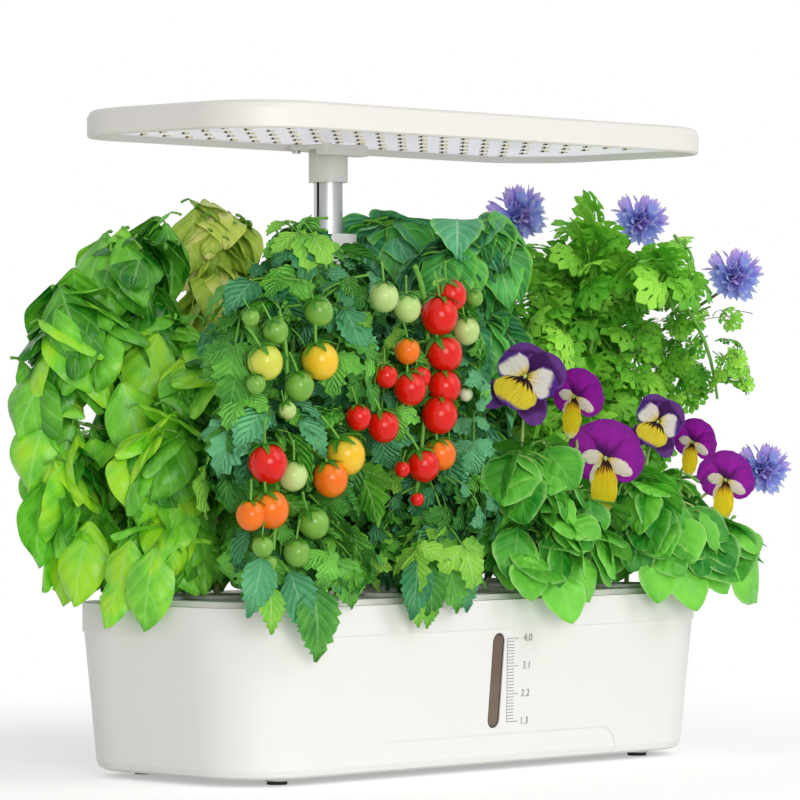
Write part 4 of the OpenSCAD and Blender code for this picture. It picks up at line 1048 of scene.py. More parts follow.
# Fruit: x, y, z and radius in mm, and a ripeness
LEFT_FRUIT = [
    (-213, -96, 258, 4.9, "green"), (-194, -96, 251, 7.1, "green"), (-161, -96, 262, 8.2, "green"),
    (-209, -96, 222, 5.4, "green"), (-176, -96, 221, 8.2, "green"), (-185, -96, 208, 4.9, "pale"),
    (-165, -96, 146, 8.8, "green"), (-178, -96, 130, 7.6, "green"), (-204, -96, 134, 6.0, "green"),
    (-199, -96, 125, 4.3, "green"), (-181, -96, 172, 8.2, "pale"), (-202, -96, 234, 9.8, "turning"),
    (-160, -96, 235, 10.4, "yellow"), (-140, -96, 183, 11, "yellow"), (-152, -96, 170, 9.9, "orange"),
    (-198, -96, 154, 10.3, "orange"), (-214, -96, 151, 8.1, "orange"), (-200, -96, 179, 10.8, "red")]
MIDDLE_FRUIT = [
    (-34, -94, 272, 5.1, "green"), (-101, -94, 271, 8.4, "pale"), (-89, -94, 265, 7.8, "pale"),
    (-41, -94, 253, 7.9, "pale"), (-41, -94, 217, 4, "bud"), (-89, -94, 241, 7.3, "orange"),
    (-62, -94, 183, 9, "orange"), (-63, -94, 261, 10.7, "red"), (-53, -94, 273, 8.8, "red"),
    (-59, -94, 240, 10.6, "red"), (-102, -94, 227, 6.6, "red"), (-89, -94, 220, 9.4, "red"),
    (-79, -94, 227, 6.4, "red"), (-59, -94, 221, 9.6, "red"), (-63, -94, 205, 10.4, "red"),
    (-128, -94, 204, 7.2, "red"), (-102, -94, 199, 9.0, "red"), (-76, -94, 177, 9.4, "red"),
    (-93, -94, 175, 4.5, "red"), (-81, -94, 158, 3.9, "red")]
# Skin by ripeness: deep colour, light colour, shoulder at the stalk
SKINS = {"green": ("#5E9A2C", "#92C452", "#4A8A22"), "pale": ("#A5CC66", "#D0E49A", "#7FB244"),
         "turning": ("#C6CF32", "#E4E266", "#8FBE3A"), "yellow": ("#F2B912", "#F8D23A", "#B8C232"),
         "orange": ("#F06008", "#FA8A18", "#F09A1E"), "red": ("#D00804", "#F2200E", "#E23A16"),
         "bud": ("#C8D4A4", "#E6EECB", "#9DBB62")}

# A full turn in radians, for random turns
ANY_TURN = 6.28

# The shared stem finishes, filled by stems()
STEM = {}


def stems():
    """The shared stem finishes, made once."""
    if not STEM:
        STEM["green"] = stem_surface("stem_grown_green", "#4C932A", "#86C448")
        STEM["pale"] = stem_surface("stem_grown_pale", "#8FB257", "#C2D58C")
        STEM["sepal"] = stem_surface("stem_grown_sepal", "#2F7A1E", "#5CA832")
        STEM["dark"] = stem_surface("stem_grown_dark", "#3B5E22", "#6C8A3C")
    return STEM


def fruit(name, skin):
    """A cherry tomato of 1 mm radius: dimpled at the stalk, with a star of sepals."""
    deselect()
    bpy.ops.mesh.primitive_uv_sphere_add(segments=20, ring_count=12, radius=MM)
    ball = bpy.context.object
    bpy.ops.object.mode_set(mode="EDIT")
    mark(ball, [v.index for v in ball.data.vertices if v.co.z > 0.9 * MM])
    bpy.ops.transform.translate(value=(0, 0, -0.12 * MM))
    mark(ball, [v.index for v in ball.data.vertices if v.co.z < -0.2 * MM])
    bpy.ops.transform.resize(value=(0.97, 0.97, 0.94), center_override=(0, 0, 0))
    bpy.ops.mesh.select_all(action="SELECT")
    bpy.ops.transform.resize(value=(1, 1, 1.1), center_override=(0, 0, 0))
    settle(ball, name, skin)
    sepal = blade("sepal", 1.15, [0.12, 0.2, 0.17, 0.1, 0.02], stems()["sepal"], 2, 0.05, droop=48)
    parts, count = [ball], 6
    for k in range(count):
        turn = math.radians(360 / count * k + 10)
        out = (math.cos(turn), math.sin(turn), 0.18)
        parts.append(copy_of(sepal, aim((0, 0, 1.02), out, (0, 0, 1))))
    bpy.data.objects.remove(sepal)
    parts.append(stalk("pedicel", [(0, 0, 0.9), (0.1, 0.05, 1.6), (0.3, 0.3, 2.4)], [0.1, 0.08, 0.09],
                       stems()["green"], 0))
    return keep_template(join(parts, name))


def fruits(rng, spots, cell, templates):
    """Copies of the fruit at their places, with a small turn each."""
    copies = []
    for x, y, z, radius, ripe in spots:
        up = Vector((rng.uniform(-0.7, 0.1), rng.uniform(-0.8, -0.2), 1))
        turned = (aim((x, y, z), (0, 1, 0), up, radius)
                  @ Matrix.Rotation(rng.uniform(0, ANY_TURN), 4, "Z"))
        matrix = kept_inside(templates[ripe], turned, cell)
        if matrix is not None:
            copies.append((templates[ripe], matrix, 0.6))
    return copies


class GARDEN_OT_tomatoes(bpy.types.Operator):
    """Grows the three tomato plants with toothed compound leaves and cherry fruit."""

    bl_idname = "garden.tomatoes"
    bl_label = "Tomatoes"

    def execute(self, context):
        look = context.scene.garden_plants
        rng = random.Random(look.seed)
        green = leaf_surface("leaf_tomato_grown", "#28782E", "#8AE65A", "#ACE890", 6.0, 0.4, 2.2,
                             vein_depth=0.2)
        bluish = leaf_surface("leaf_tomato_shaded_grown", "#287A46", "#78D090", "#ACE4B4", 6.0, 0.4, 2.2,
                              vein_depth=0.2)
        light = leaf_surface("leaf_tomato_young_grown", "#3FA022", "#ACEE58", "#D0F2A0", 6.0, 0.4, 0.9,
                             vein_depth=0.3)
        stem = stems()["green"]
        reach = 50 * (look.tomato / 0.078)
        mix = []
        for made, droop, hang, label in (
                (green, 30, 45, "tomato_leaf_a"), (green, 50, 75, "tomato_leaf_b"),
                (bluish, 40, 60, "tomato_leaf_c"), (light, 30, 40, "tomato_leaf_d")):
            leaflet = blade(label + "_leaflet", 34, scaled(LANCE, 10.5), made, 4, 2.2, 0.8, droop, 1.2,
                            1.7)
            mix.append(compound(label, leaflet, stem, reach, (0.66, 0.9), 1.1, hang))
        single = blade("tomato_single", 42, scaled(finer(OVATE), 13), green, 4, 3.0, 1.4, 45, 1.1, 1.1)
        single = with_petiole(single, 14, 0.8, stem)
        shade = blade("tomato_single_shaded", 40, scaled(finer(OVATE), 12.5), bluish, 4, 3.0, 1.0, 35, 1.1,
                      1.1)
        shade = with_petiole(shade, 14, 0.8, stem)
        young = blade("tomato_young", 28, scaled(finer(LANCE), 8), light, 4, 2.0, 0.5, 20, 0.8, 0.8)
        young = with_petiole(young, 10, 0.6, stem)
        skins = {ripe: fruit("fruit_" + ripe, fruit_skin("fruit_skin_" + ripe, *colours))
                 for ripe, colours in SKINS.items()}
        gap = 20 / math.sqrt(look.fullness)
        left_fruit = LEFT_FRUIT + [f for f in MIDDLE_FRUIT if f[0] < -COLUMN_SPLIT]
        middle_fruit = [f for f in MIDDLE_FRUIT if f[0] >= -COLUMN_SPLIT]
        sights = [((f[0], f[1], f[2]), 0.85 * f[3]) for f in LEFT_FRUIT + MIDDLE_FRUIT]

        cell = cell_of(-222, -COLUMN_SPLIT, FRONT, -ROW_SPLIT)
        rim = cell_of(-222, -COLUMN_SPLIT, FRONT, TANK_FACE, 45)
        masses = at_pod("a1", TOMATO_LEFT)
        copies = leafy(rng, masses, cell, mix + [single, shade, young], gap, (0.6, 0.9), (15, 60),
                       (0.2, 0.95), hold=26, sights=sights)
        copies += fruits(rng, left_fruit, cell, skins)
        copies += over_rim(rim, (single, -171, 112, 1.05, 0.1, 0.3), (young, -199, 114, 1.0, -0.1, 0.6),
                           (shade, -186, 120, 0.9, 0.3, 0.5), (single, -148, 126, 0.8, 0.5, 0.7),
                           (shade, -214, 128, 0.85, -0.4, 0.6), (young, -160, 116, 0.8, -0.2, 0.7))
        trusses = [stalk("truss", points, [1.6, 1.4, 1.2, 1.0], stem) for points in (
            [(-176, -70, 280), (-180, -88, 262), (-176, -90, 235), (-182, -90, 208)],
            [(-170, -70, 200), (-184, -88, 192), (-186, -90, 160), (-190, -90, 132)])]
        grow("tomato_plant_left", copies, "deck", ["tomato_left"], trusses + stem_to("a1", masses, stem))

        cell = cell_of(-COLUMN_SPLIT + 1, FRONT_SPLIT - 0.5, FRONT, -ROW_SPLIT)
        rim = cell_of(-COLUMN_SPLIT + 1, FRONT_SPLIT - 0.5, FRONT, TANK_FACE, 76)
        masses = at_pod("b1", TOMATO_MIDDLE)
        copies = leafy(rng, masses, cell, mix + [single, young], gap, (0.5, 0.8), (15, 60), (0.45, 1.0),
                       [FLAP_SWING], hold=24, sights=sights)
        copies += fruits(rng, middle_fruit, cell, skins)
        copies += over_rim(rim, (shade, -92, 124, 0.85, -0.2, 0.3), (single, -78, 120, 0.8, 0.2, 0.2),
                           (single, -64, 126, 0.9, 0.4, 0.5), (young, -86, 108, 0.8, 0.1, 0.5),
                           (shade, -50, 122, 0.75, 0.2, 0.6), (young, -70, 104, 0.7, -0.3, 0.4))
        truss = stalk("truss", [(-58, -70, 290), (-62, -86, 270), (-66, -88, 230), (-70, -88, 190),
                                (-76, -88, 160)], [1.6, 1.5, 1.4, 1.2, 1.0], stem)
        grow("tomato_plant_middle", copies, "deck", ["tomato_middle"],
             [truss] + stem_to("b1", masses, stem))

        cell = cell_of(-COLUMN_SPLIT + 1, -0.5, -ROW_SPLIT + 1, ROW_SPLIT - 1)
        masses = at_pod("b2", TOMATO_BACK)
        copies = leafy(rng, masses, cell, mix[:3] + [single, shade], gap, (0.5, 0.75), (10, 50),
                       (0.1, 0.7), hold=24)
        grow("tomato_plant_back", copies, "deck", ["tomato_back"], stem_to("b2", masses, stem))
        return {"FINISHED"}


class GARDEN_OT_basils(bpy.types.Operator):
    """Grows the two basil plants with large cupped leaves, and the olive basil behind the post."""

    bl_idname = "garden.basils"
    bl_label = "Basils"

    def execute(self, context):
        look = context.scene.garden_plants
        rng = random.Random(look.seed + 1)
        made = leaf_surface("leaf_basil_grown", "#107414", "#9AFF4A", "#C8FCA0", 4.0, 0.22, 1.3,
                            coat=0.3, vein_depth=0.18, young="#B4F232")
        olive = leaf_surface("leaf_olive_basil_grown", "#84B426", "#F2FF72", "#F4F8B4", 5.0, 0.3, 1.6,
                             coat=0.15, vein_depth=0.2, young="#FAF8A4")
        length = look.basil / MM
        kinds = []
        for label, droop, cup, half in (("basil_leaf_a", 40, 7.0, 0.32), ("basil_leaf_b", 65, 8.5, 0.35),
                                        ("basil_leaf_c", 18, 6.0, 0.31)):
            leaf = blade(label, length, scaled(ELLIPTIC, length * half), made, 6, 2.4, cup, droop, 0.6)
            kinds.append(with_petiole(rounded(leaf), 5, 0.8, stems()["green"]))
        small = blade("basil_leaf_small", 24, scaled(ELLIPTIC, 7.5), made, 4, 1.5, 2.4, 30)
        small = with_petiole(small, 5, 0.6, stems()["green"])
        grey = []
        for label, droop in (("olive_leaf_a", 35), ("olive_leaf_b", 60)):
            leaf = blade(label, 42, scaled(ELLIPTIC, 14.0), olive, 6, 1.8, 6.0, droop, 0.5)
            grey.append(with_petiole(rounded(leaf), 5, 0.8, stems()["green"]))
        gap = 16.5 / math.sqrt(look.fullness)

        # painted light: leaves at the tank's left end and low down get a brighter tone, the others a little
        # darker
        def left_painted_light(point):
            outward = max(0.0, min(1.0, (-170 - point.x) / 50))
            return 0.25 * outward + 0.3 * max(0.0, (180 - point.z) / 70) - 0.1

        dense = {"inner": 0.35, "glow": left_painted_light, "swing": 60, "hold": 24, "crown": (-35, 35)}

        cell = cell_of(-252, -COLUMN_SPLIT, -ROW_SPLIT + 1, ROW_SPLIT - 1)
        end = cell_of(-252, -201.5, -ROW_SPLIT + 1, ROW_SPLIT - 1, 78)
        masses = at_pod("a2", BASIL_LOW)
        copies = leafy(rng, masses, cell, kinds + kinds + [small], gap, (0.85, 1.15), (20, 75),
                       (0.1, 1.0), **dense)
        copies += leaves_at(
            end, ((-206, -14, 132), (-0.25, 0.0, -1), (-1, -0.5, 0.2), 1.05, 0.72, kinds[2]),
            ((-206, 6, 136), (-0.3, 0.2, -1), (-1, -0.3, 0.2), 1.0, 0.85, kinds[0]),
            ((-204, 18, 120), (-0.4, 0.1, -0.7), (-1, -0.3, 0.6), 0.8, 0.8, kinds[2]))
        grow("basil_plant_low", copies, "deck", ["basil_low"], stem_to("a2", masses, stems()["pale"]))

        cell = cell_of(-242, -COLUMN_SPLIT, ROW_SPLIT, 104)
        corner = ((-260, 76, 0), (-224, 120, 400))
        end = cell_of(-252, -201.5, ROW_SPLIT, BACK, 84)
        masses = at_pod("a3", BASIL_TALL)
        copies = leafy(rng, masses, cell, kinds + kinds + [small], gap, (0.85, 1.2), (20, 75),
                       (0.1, 0.95), [corner], **dense)
        copies += leaves_at(
            end, ((-206, 40, 146), (-0.35, 0.0, -1), (-1, -0.5, 0.2), 1.1, 0.95, kinds[2]),
            ((-204, 58, 138), (-0.3, 0.1, -1), (-1, -0.2, 0.2), 0.95, 0.9, kinds[0]))
        copies += leaves_at(
            cell, ((-186, 30, 224), (0.15, -0.3, -1), (-0.6, -0.7, 0.3), 1.15, 0.75, kinds[2]),
            ((-158, 30, 252), (-0.5, -0.3, -0.7), (-0.4, -0.6, 0.8), 1.1, 0.85, kinds[0]),
            ((-206, 72, 232), (-0.8, -0.1, -0.5), (-0.3, -0.5, 1), 1.1, 0.6, kinds[1]),
            ((-206, 56, 200), (-0.3, 0.1, -1), (-0.6, -0.8, 0.3), 1.1, 0.5, kinds[2]),
            ((-196, 50, 192), (0.2, -0.1, -1), (-0.6, -0.8, 0.3), 1.1, 0.7, kinds[0]),
            ((-212, 70, 206), (-0.7, -0.2, -0.8), (-0.4, -0.5, 1), 1.1, 0.8, kinds[1]))
        grow("basil_plant_tall", copies, "deck", ["basil_tall"], stem_to("a3", masses, stems()["pale"]))

        cell = cell_of(-COLUMN_SPLIT + 1, -POST_CLEAR, ROW_SPLIT, BACK)
        masses = at_pod("b3", BASIL_OLIVE)
        copies = leafy(rng, masses, cell, grey, gap * 0.95, (0.7, 1.1), (20, 70), (0.1, 1.0), inner=0.35,
                       swing=50, hold=21)
        grow("olive_basil_plant", copies, "deck", ["basil_olive"],
             stem_to("b3", masses, stems()["dark"]))
        return {"FINISHED"}


class GARDEN_OT_broad_leaves(bpy.types.Operator):
    """Grows the aubergine and the cucumber with broad dark leaves folded along their midribs."""

    bl_idname = "garden.broad_leaves"
    bl_label = "Aubergine and cucumber"

    def execute(self, context):
        look = context.scene.garden_plants
        rng = random.Random(look.seed + 2)
        dark = leaf_surface("leaf_aubergine_grown", "#1C7030", "#62C95A", "#A8DE90", 5.0, 0.34, 1.3,
                            edge="#8CDA48", coat=0.1, vein_depth=0.3)
        bluish = leaf_surface("leaf_cucumber_grown", "#1F7A48", "#74D096", "#BEECC4", 5.0, 0.36, 1.2,
                              edge="#9AE25C", coat=0.05, vein_depth=0.35)
        length = look.broad / MM
        kinds, others = [], []
        for label, made, droop, fold, store in (("aubergine_leaf_a", dark, 50, 5.0, kinds),
                                                ("aubergine_leaf_b", dark, 75, 3.0, kinds),
                                                ("cucumber_leaf_a", bluish, 40, 6.0, others),
                                                ("cucumber_leaf_b", bluish, 65, 3.5, others)):
            outline = scaled(BROAD, length * 0.40)
            leaf = blade(label, length, outline, made, 6, fold, 3.0, droop, 1.2, 1.0)
            store.append(with_petiole(rounded(leaf), 12, 1.0, stems()["green"]))
        gap = 17.5 / math.sqrt(look.fullness)

        cell = cell_of(0.5, COLUMN_SPLIT - 1, -ROW_SPLIT + 1, ROW_SPLIT - 1)
        masses = at_pod("c2", AUBERGINE)
        copies = leafy(rng, masses, cell, kinds + others[:1], gap, (0.6, 0.95), (25, 70), (0.1, 0.85),
                       hold=20)
        copies += leaves_at(
            cell, ((70, -16, 322), (0.75, -0.45, -0.25), (-0.2, -0.6, 1), 0.8, 0.9, kinds[0]),
            ((50, -12, 322), (-0.6, -0.6, -0.3), (-0.3, -0.4, 1), 0.85, 0.7, others[0]),
            ((78, -18, 305), (0.1, -0.6, -1), (-0.5, -0.8, 0.3), 0.75, 0.5, kinds[0]),
            ((40, -16, 300), (-0.2, -0.4, -1), (-0.5, -0.8, 0.3), 0.8, 0.8, kinds[1]))
        grow("aubergine_plant", copies, "deck", ["aubergine"], stem_to("c2", masses, stems()["green"]))

        cell = cell_of(POST_CLEAR, COLUMN_SPLIT - 1, ROW_SPLIT, BACK)
        masses = at_pod("c3", CUCUMBER)
        copies = leafy(rng, masses, cell, others + kinds[:1], gap, (0.75, 1.1), (20, 65), (0.15, 0.9),
                       hold=20)
        grow("cucumber_plant", copies, "deck", ["cucumber"], stem_to("c3", masses, stems()["green"]))
        return {"FINISHED"}


def pansy(name, petals, width):
    """A pansy facing +Z: petals gives finish, direction in degrees, length, width and height."""
    half = width / 2
    parts = []
    for made, angle, long, wide, lift in petals:
        petal = blade("petal", half * long, scaled(PETAL, half * wide), made, 8, 0.0, 0.8, 12, 0.9)
        turn = math.radians(angle)
        parts.append(placed(petal, aim((0, 0, lift), (math.cos(turn), math.sin(turn), 0.06), (0, 0, 1))))
    throat = blade("throat", 2.6, [0.5, 0.9, 0.8, 0.3], stems()["pale"], 2, 0.3, 0.0, 60)
    parts.append(placed(throat, aim((0, 1.2, 1.6), (0, -1, 0.4), (0, 0, 1))))
    parts.append(stalk("neck", [(0, 0, 0.2), (0, 1.5, -4), (0, -2.5, -9), (0, -9, -12)],
                       [0.9, 0.9, 0.8, 0.8], stems()["pale"], 1))
    for k in range(5):
        turn = math.radians(72 * k + 18)
        sepal = blade("sepal", half * 0.5, [0.8, 1.2, 0.8, 0.1], stems()["green"], 2, 0.2, 0.0, 20)
        parts.append(placed(sepal, aim((0, 0, -2.2), (math.cos(turn), math.sin(turn), -0.1), (0, 0, 1))))
    return keep_template(join(parts, name))


class GARDEN_OT_pansies(bpy.types.Operator):
    """Grows the two pansy plants: scalloped leaves under three flowers each."""

    bl_idname = "garden.pansies"
    bl_label = "Pansies"

    def execute(self, context):
        look = context.scene.garden_plants
        rng = random.Random(look.seed + 3)
        leaf_green = leaf_surface("leaf_pansy_grown", "#1E8A22", "#84E44C", "#B4EC8C", 4.0, 0.32, 1.0,
                                  edge="#A6E27C", coat=0.1, vein_depth=0.12)
        kinds = []
        for label, droop in (("pansy_leaf_a", 20), ("pansy_leaf_b", 45)):
            leaf = blade(label, 37, scaled(ROUND, 16.5), leaf_green, 6, 2.0, 3.4, droop, 0.8, 0.9)
            kinds.append(with_petiole(rounded(leaf), 12, 0.9, stems()["green"]))
        tall = blade("pansy_leaf_tall", 36, scaled(LANCE, 7.5), leaf_green, 4, 1.4, 1.0, 25, 0.5, 0.6)
        tall = with_petiole(tall, 12, 0.8, stems()["pale"])
        night = petal_surface("petal_pansy_night", "#200826", "#43155A", "#6E3A90")
        violet = petal_surface("petal_pansy_violet", "#46094E", "#A81CB0", "#9420A2")
        edged = petal_surface("petal_pansy_white_edged", "#F8DC22", "#F8F2E4", "#56268C", "#26081E", 0.20,
                              0.80)
        gold = petal_surface("petal_pansy_gold_edged", "#FAD012", "#FBE43A", "#62309A", "#26081E", 0.34,
                             0.90)
        cream = petal_surface("petal_pansy_cream", "#F8DC52", "#FAF2DC", "#F3E2DC", "#4A1424", 0.18,
                              0.95)
        lip = petal_surface("petal_pansy_yellow", "#F6B80A", "#FBDD22", "#F9EFB6", "#3A1410", 0.30, 0.92)
        big = look.pansy / MM
        dark_one = pansy("pansy_dark_edged", (
            (night, 52, 1.4, 0.76, -1.8), (night, 112, 1.35, 0.7, -2.2), (night, -52, 1.6, 0.5, -2.0),
            (night, -124, 1.65, 0.46, -2.4), (edged, 152, 1.05, 0.56, -0.5), (edged, 8, 1.05, 0.6, 0.0),
            (gold, -96, 1.15, 0.74, 0.7)), big)
        pink_one = pansy("pansy_violet", (
            (violet, 58, 1.15, 0.86, -2.0), (violet, 132, 1.15, 0.78, -2.5), (violet, -14, 1.2, 0.66, -1.2),
            (violet, 192, 0.95, 0.5, -1.5), (cream, -38, 0.95, 0.22, 0.1), (cream, 168, 0.7, 0.22, 0.3),
            (cream, -120, 0.9, 0.24, 0.4), (lip, -98, 1.65, 0.4, 0.9)), big)
        gap = 16.5 / math.sqrt(look.fullness)
        front, left = (-0.66, -0.74, 0.06), (-0.93, -0.35, 0.1)
        # by pod: name, node, masses, cell, boxes without leaves; flowers with template, place, size,
        # direction and roll; leaves over the rim with x, size, z, lean and template
        plants = {
            "c1": ("pansy_plant_left", "pansy_left", PANSY_LEFT,
                   cell_of(FRONT_SPLIT + 0.5, COLUMN_SPLIT - 1, FRONT, -ROW_SPLIT, z1=297), [FLAP_SWING],
                   [(dark_one, (15, -88, 227), 1.02, (-0.76, -0.62, 0.12), 0.75),
                    (pink_one, (58, -88, 216), 0.82, left, 0.0),
                    (pink_one, (88, -94, 180), 1.1, front, -0.15)],
                   ((30, 0.9, 116, 0.0, 0), (46, 0.8, 122, 0.4, 1), (8, 0.75, 124, -0.3, 0))),
            "d1": ("pansy_plant_right", "pansy_right", PANSY_RIGHT,
                   cell_of(COLUMN_SPLIT, 213.5, FRONT, -ROW_SPLIT, z1=PANSY_TOP), (),
                   [(dark_one, (134, -86, 201), 0.76, (-0.6, -0.78, 0.1), 0.5),
                    (pink_one, (166, -86, 189), 0.7, left, 0.0),
                    (pink_one, (192, -90, 166), 0.86, front, -0.1)],
                   ((142, 0.85, 118, 0.0, 0), (192, 1.1, 122, 0.8, 1), (164, 0.8, 124, 0.3, 0),
                    (122, 0.8, 122, -0.3, 1))),
        }
        pale = stems()["pale"]
        for pod, (name, node, shape, cell, bans, flowers, over) in plants.items():
            masses = at_pod(pod, shape)
            sights = [((at[0], at[1], at[2] - 5 * size), 17 * size) for _, at, size, _, _ in flowers]
            copies = leafy(rng, masses, cell, kinds + kinds + [tall], gap, (0.65, 1.1), (0, 75),
                           (0.1, 0.95), bans, sights=sights, roll=0.7)
            before_tank = ((cell[0][0], FRONT, 84), (cell[1][0], TANK_FACE, 140))
            for x, size, z, lean, kind in over:
                copies.append(leaf_at(kinds[kind], (x, -90, z), (lean, -0.5, -0.8), (-0.3, -0.8, 0.6),
                                      size, 0.9, before_tank))
            extras = stem_to(pod, masses, pale, 1.6)
            for mesh, at, size, facing, roll in flowers:
                facing = Vector(facing)
                matrix = kept_inside(mesh, aim(at, (roll, 0, 1), facing, size), cell)
                if matrix is None:
                    raise RuntimeError(f"a flower of {pod} doesn't fit in its plant's space")
                copies.append((mesh, matrix, 0.5))
                start = Vector((POD_X[pod[0]] * 0.6 + at[0] * 0.4, -66, 128))
                end = Vector(at) - facing.normalized() * 9
                bend = (start + end) / 2 + Vector((0, 5, 8))
                extras.append(stalk("flower_stalk", [start, bend, end + Vector((0, 0, -2)), end],
                                    [1.1, 1.0, 0.9, 0.8], pale))
            grow(name, copies, "pod_" + pod, [node], extras)
        return {"FINISHED"}


class GARDEN_OT_parsley(bpy.types.Operator):
    """Grows the parsley: branching stalks with leaflets cut into narrow lobes."""

    bl_idname = "garden.parsley"
    bl_label = "Parsley"

    def execute(self, context):
        look = context.scene.garden_plants
        rng = random.Random(look.seed + 4)
        made = leaf_surface("leaf_parsley_grown", "#46AE20", "#B4FC58", "#D0F6A0", 3.0, 0.42, 0.5,
                            vein_depth=0.15)
        kinds = []
        for label, droop, hang in (("parsley_spray_a", 15, 15), ("parsley_spray_b", 30, 45)):
            lobes = []
            for angle, long in ((0, 1.0), (-36, 0.9), (36, 0.9), (-78, 0.65), (78, 0.65)):
                lobe = blade("lobe", 16, scaled(LOBE, 3.1), made, 2, 0.6, 0.0, droop, 0.0, 1.3)
                turn = math.radians(angle)
                out = (math.sin(turn), math.cos(turn), 0.04)
                lobes.append(placed(lobe, aim((0, 2.0, 0), out, (0, 0, 1), long)))
            leaflet = join(lobes, label + "_leaflet")
            kinds.append(compound(label, leaflet, stems()["green"], 38, (0.85, 0.95), 1.05, hang))
        gap = 18.5 / math.sqrt(look.fullness)
        masses = at_pod("d2", PARSLEY)
        upper = cell_of(COLUMN_SPLIT + 0.5, 227.5, FRONT, ROW_SPLIT - 1, 268)
        lower = cell_of(COLUMN_SPLIT + 0.5, 227.5, -ROW_SPLIT + 1, ROW_SPLIT - 1)
        hanging = cell_of(214.5, 233, FRONT, -1, 203, 275)
        heads, sides = masses[2:4], [masses[7], masses[9]]
        low = [m for m in masses if m not in heads + sides]
        sights = [(place, 15) for place in BLOOM_PLACES]
        copies = leafy(rng, heads, upper, kinds, gap, (0.85, 1.15), (-70, 45), (0.2, 1.0),
                       sights=sights, crown=(-75, -20), roll=1.2)
        copies += leafy(rng, low, lower, kinds, gap, (0.75, 1.05), (-60, 60), (0.2, 1.0), hold=18,
                        sights=sights, crown=(-75, -20), roll=1.2)
        copies += leafy(rng, sides, hanging, kinds, gap * 0.7, (0.4, 0.62), (-30, 60), (0.3, 1.0), hold=8,
                        sights=sights, roll=0.9)
        tips = [m for m in masses if m not in heads[1:] + sides]
        stalks = stem_to("d2", tips, stems()["green"])
        stalks.append(stalk("stalk", [(190, -30, 290), (215, -45, 276), (224, -52, 250),
                                      (225, -56, 215)], [1.6, 1.4, 1.2, 0.8], stems()["green"]))
        grow("parsley_plant", copies, "deck", ["parsley"], stalks)
        return {"FINISHED"}


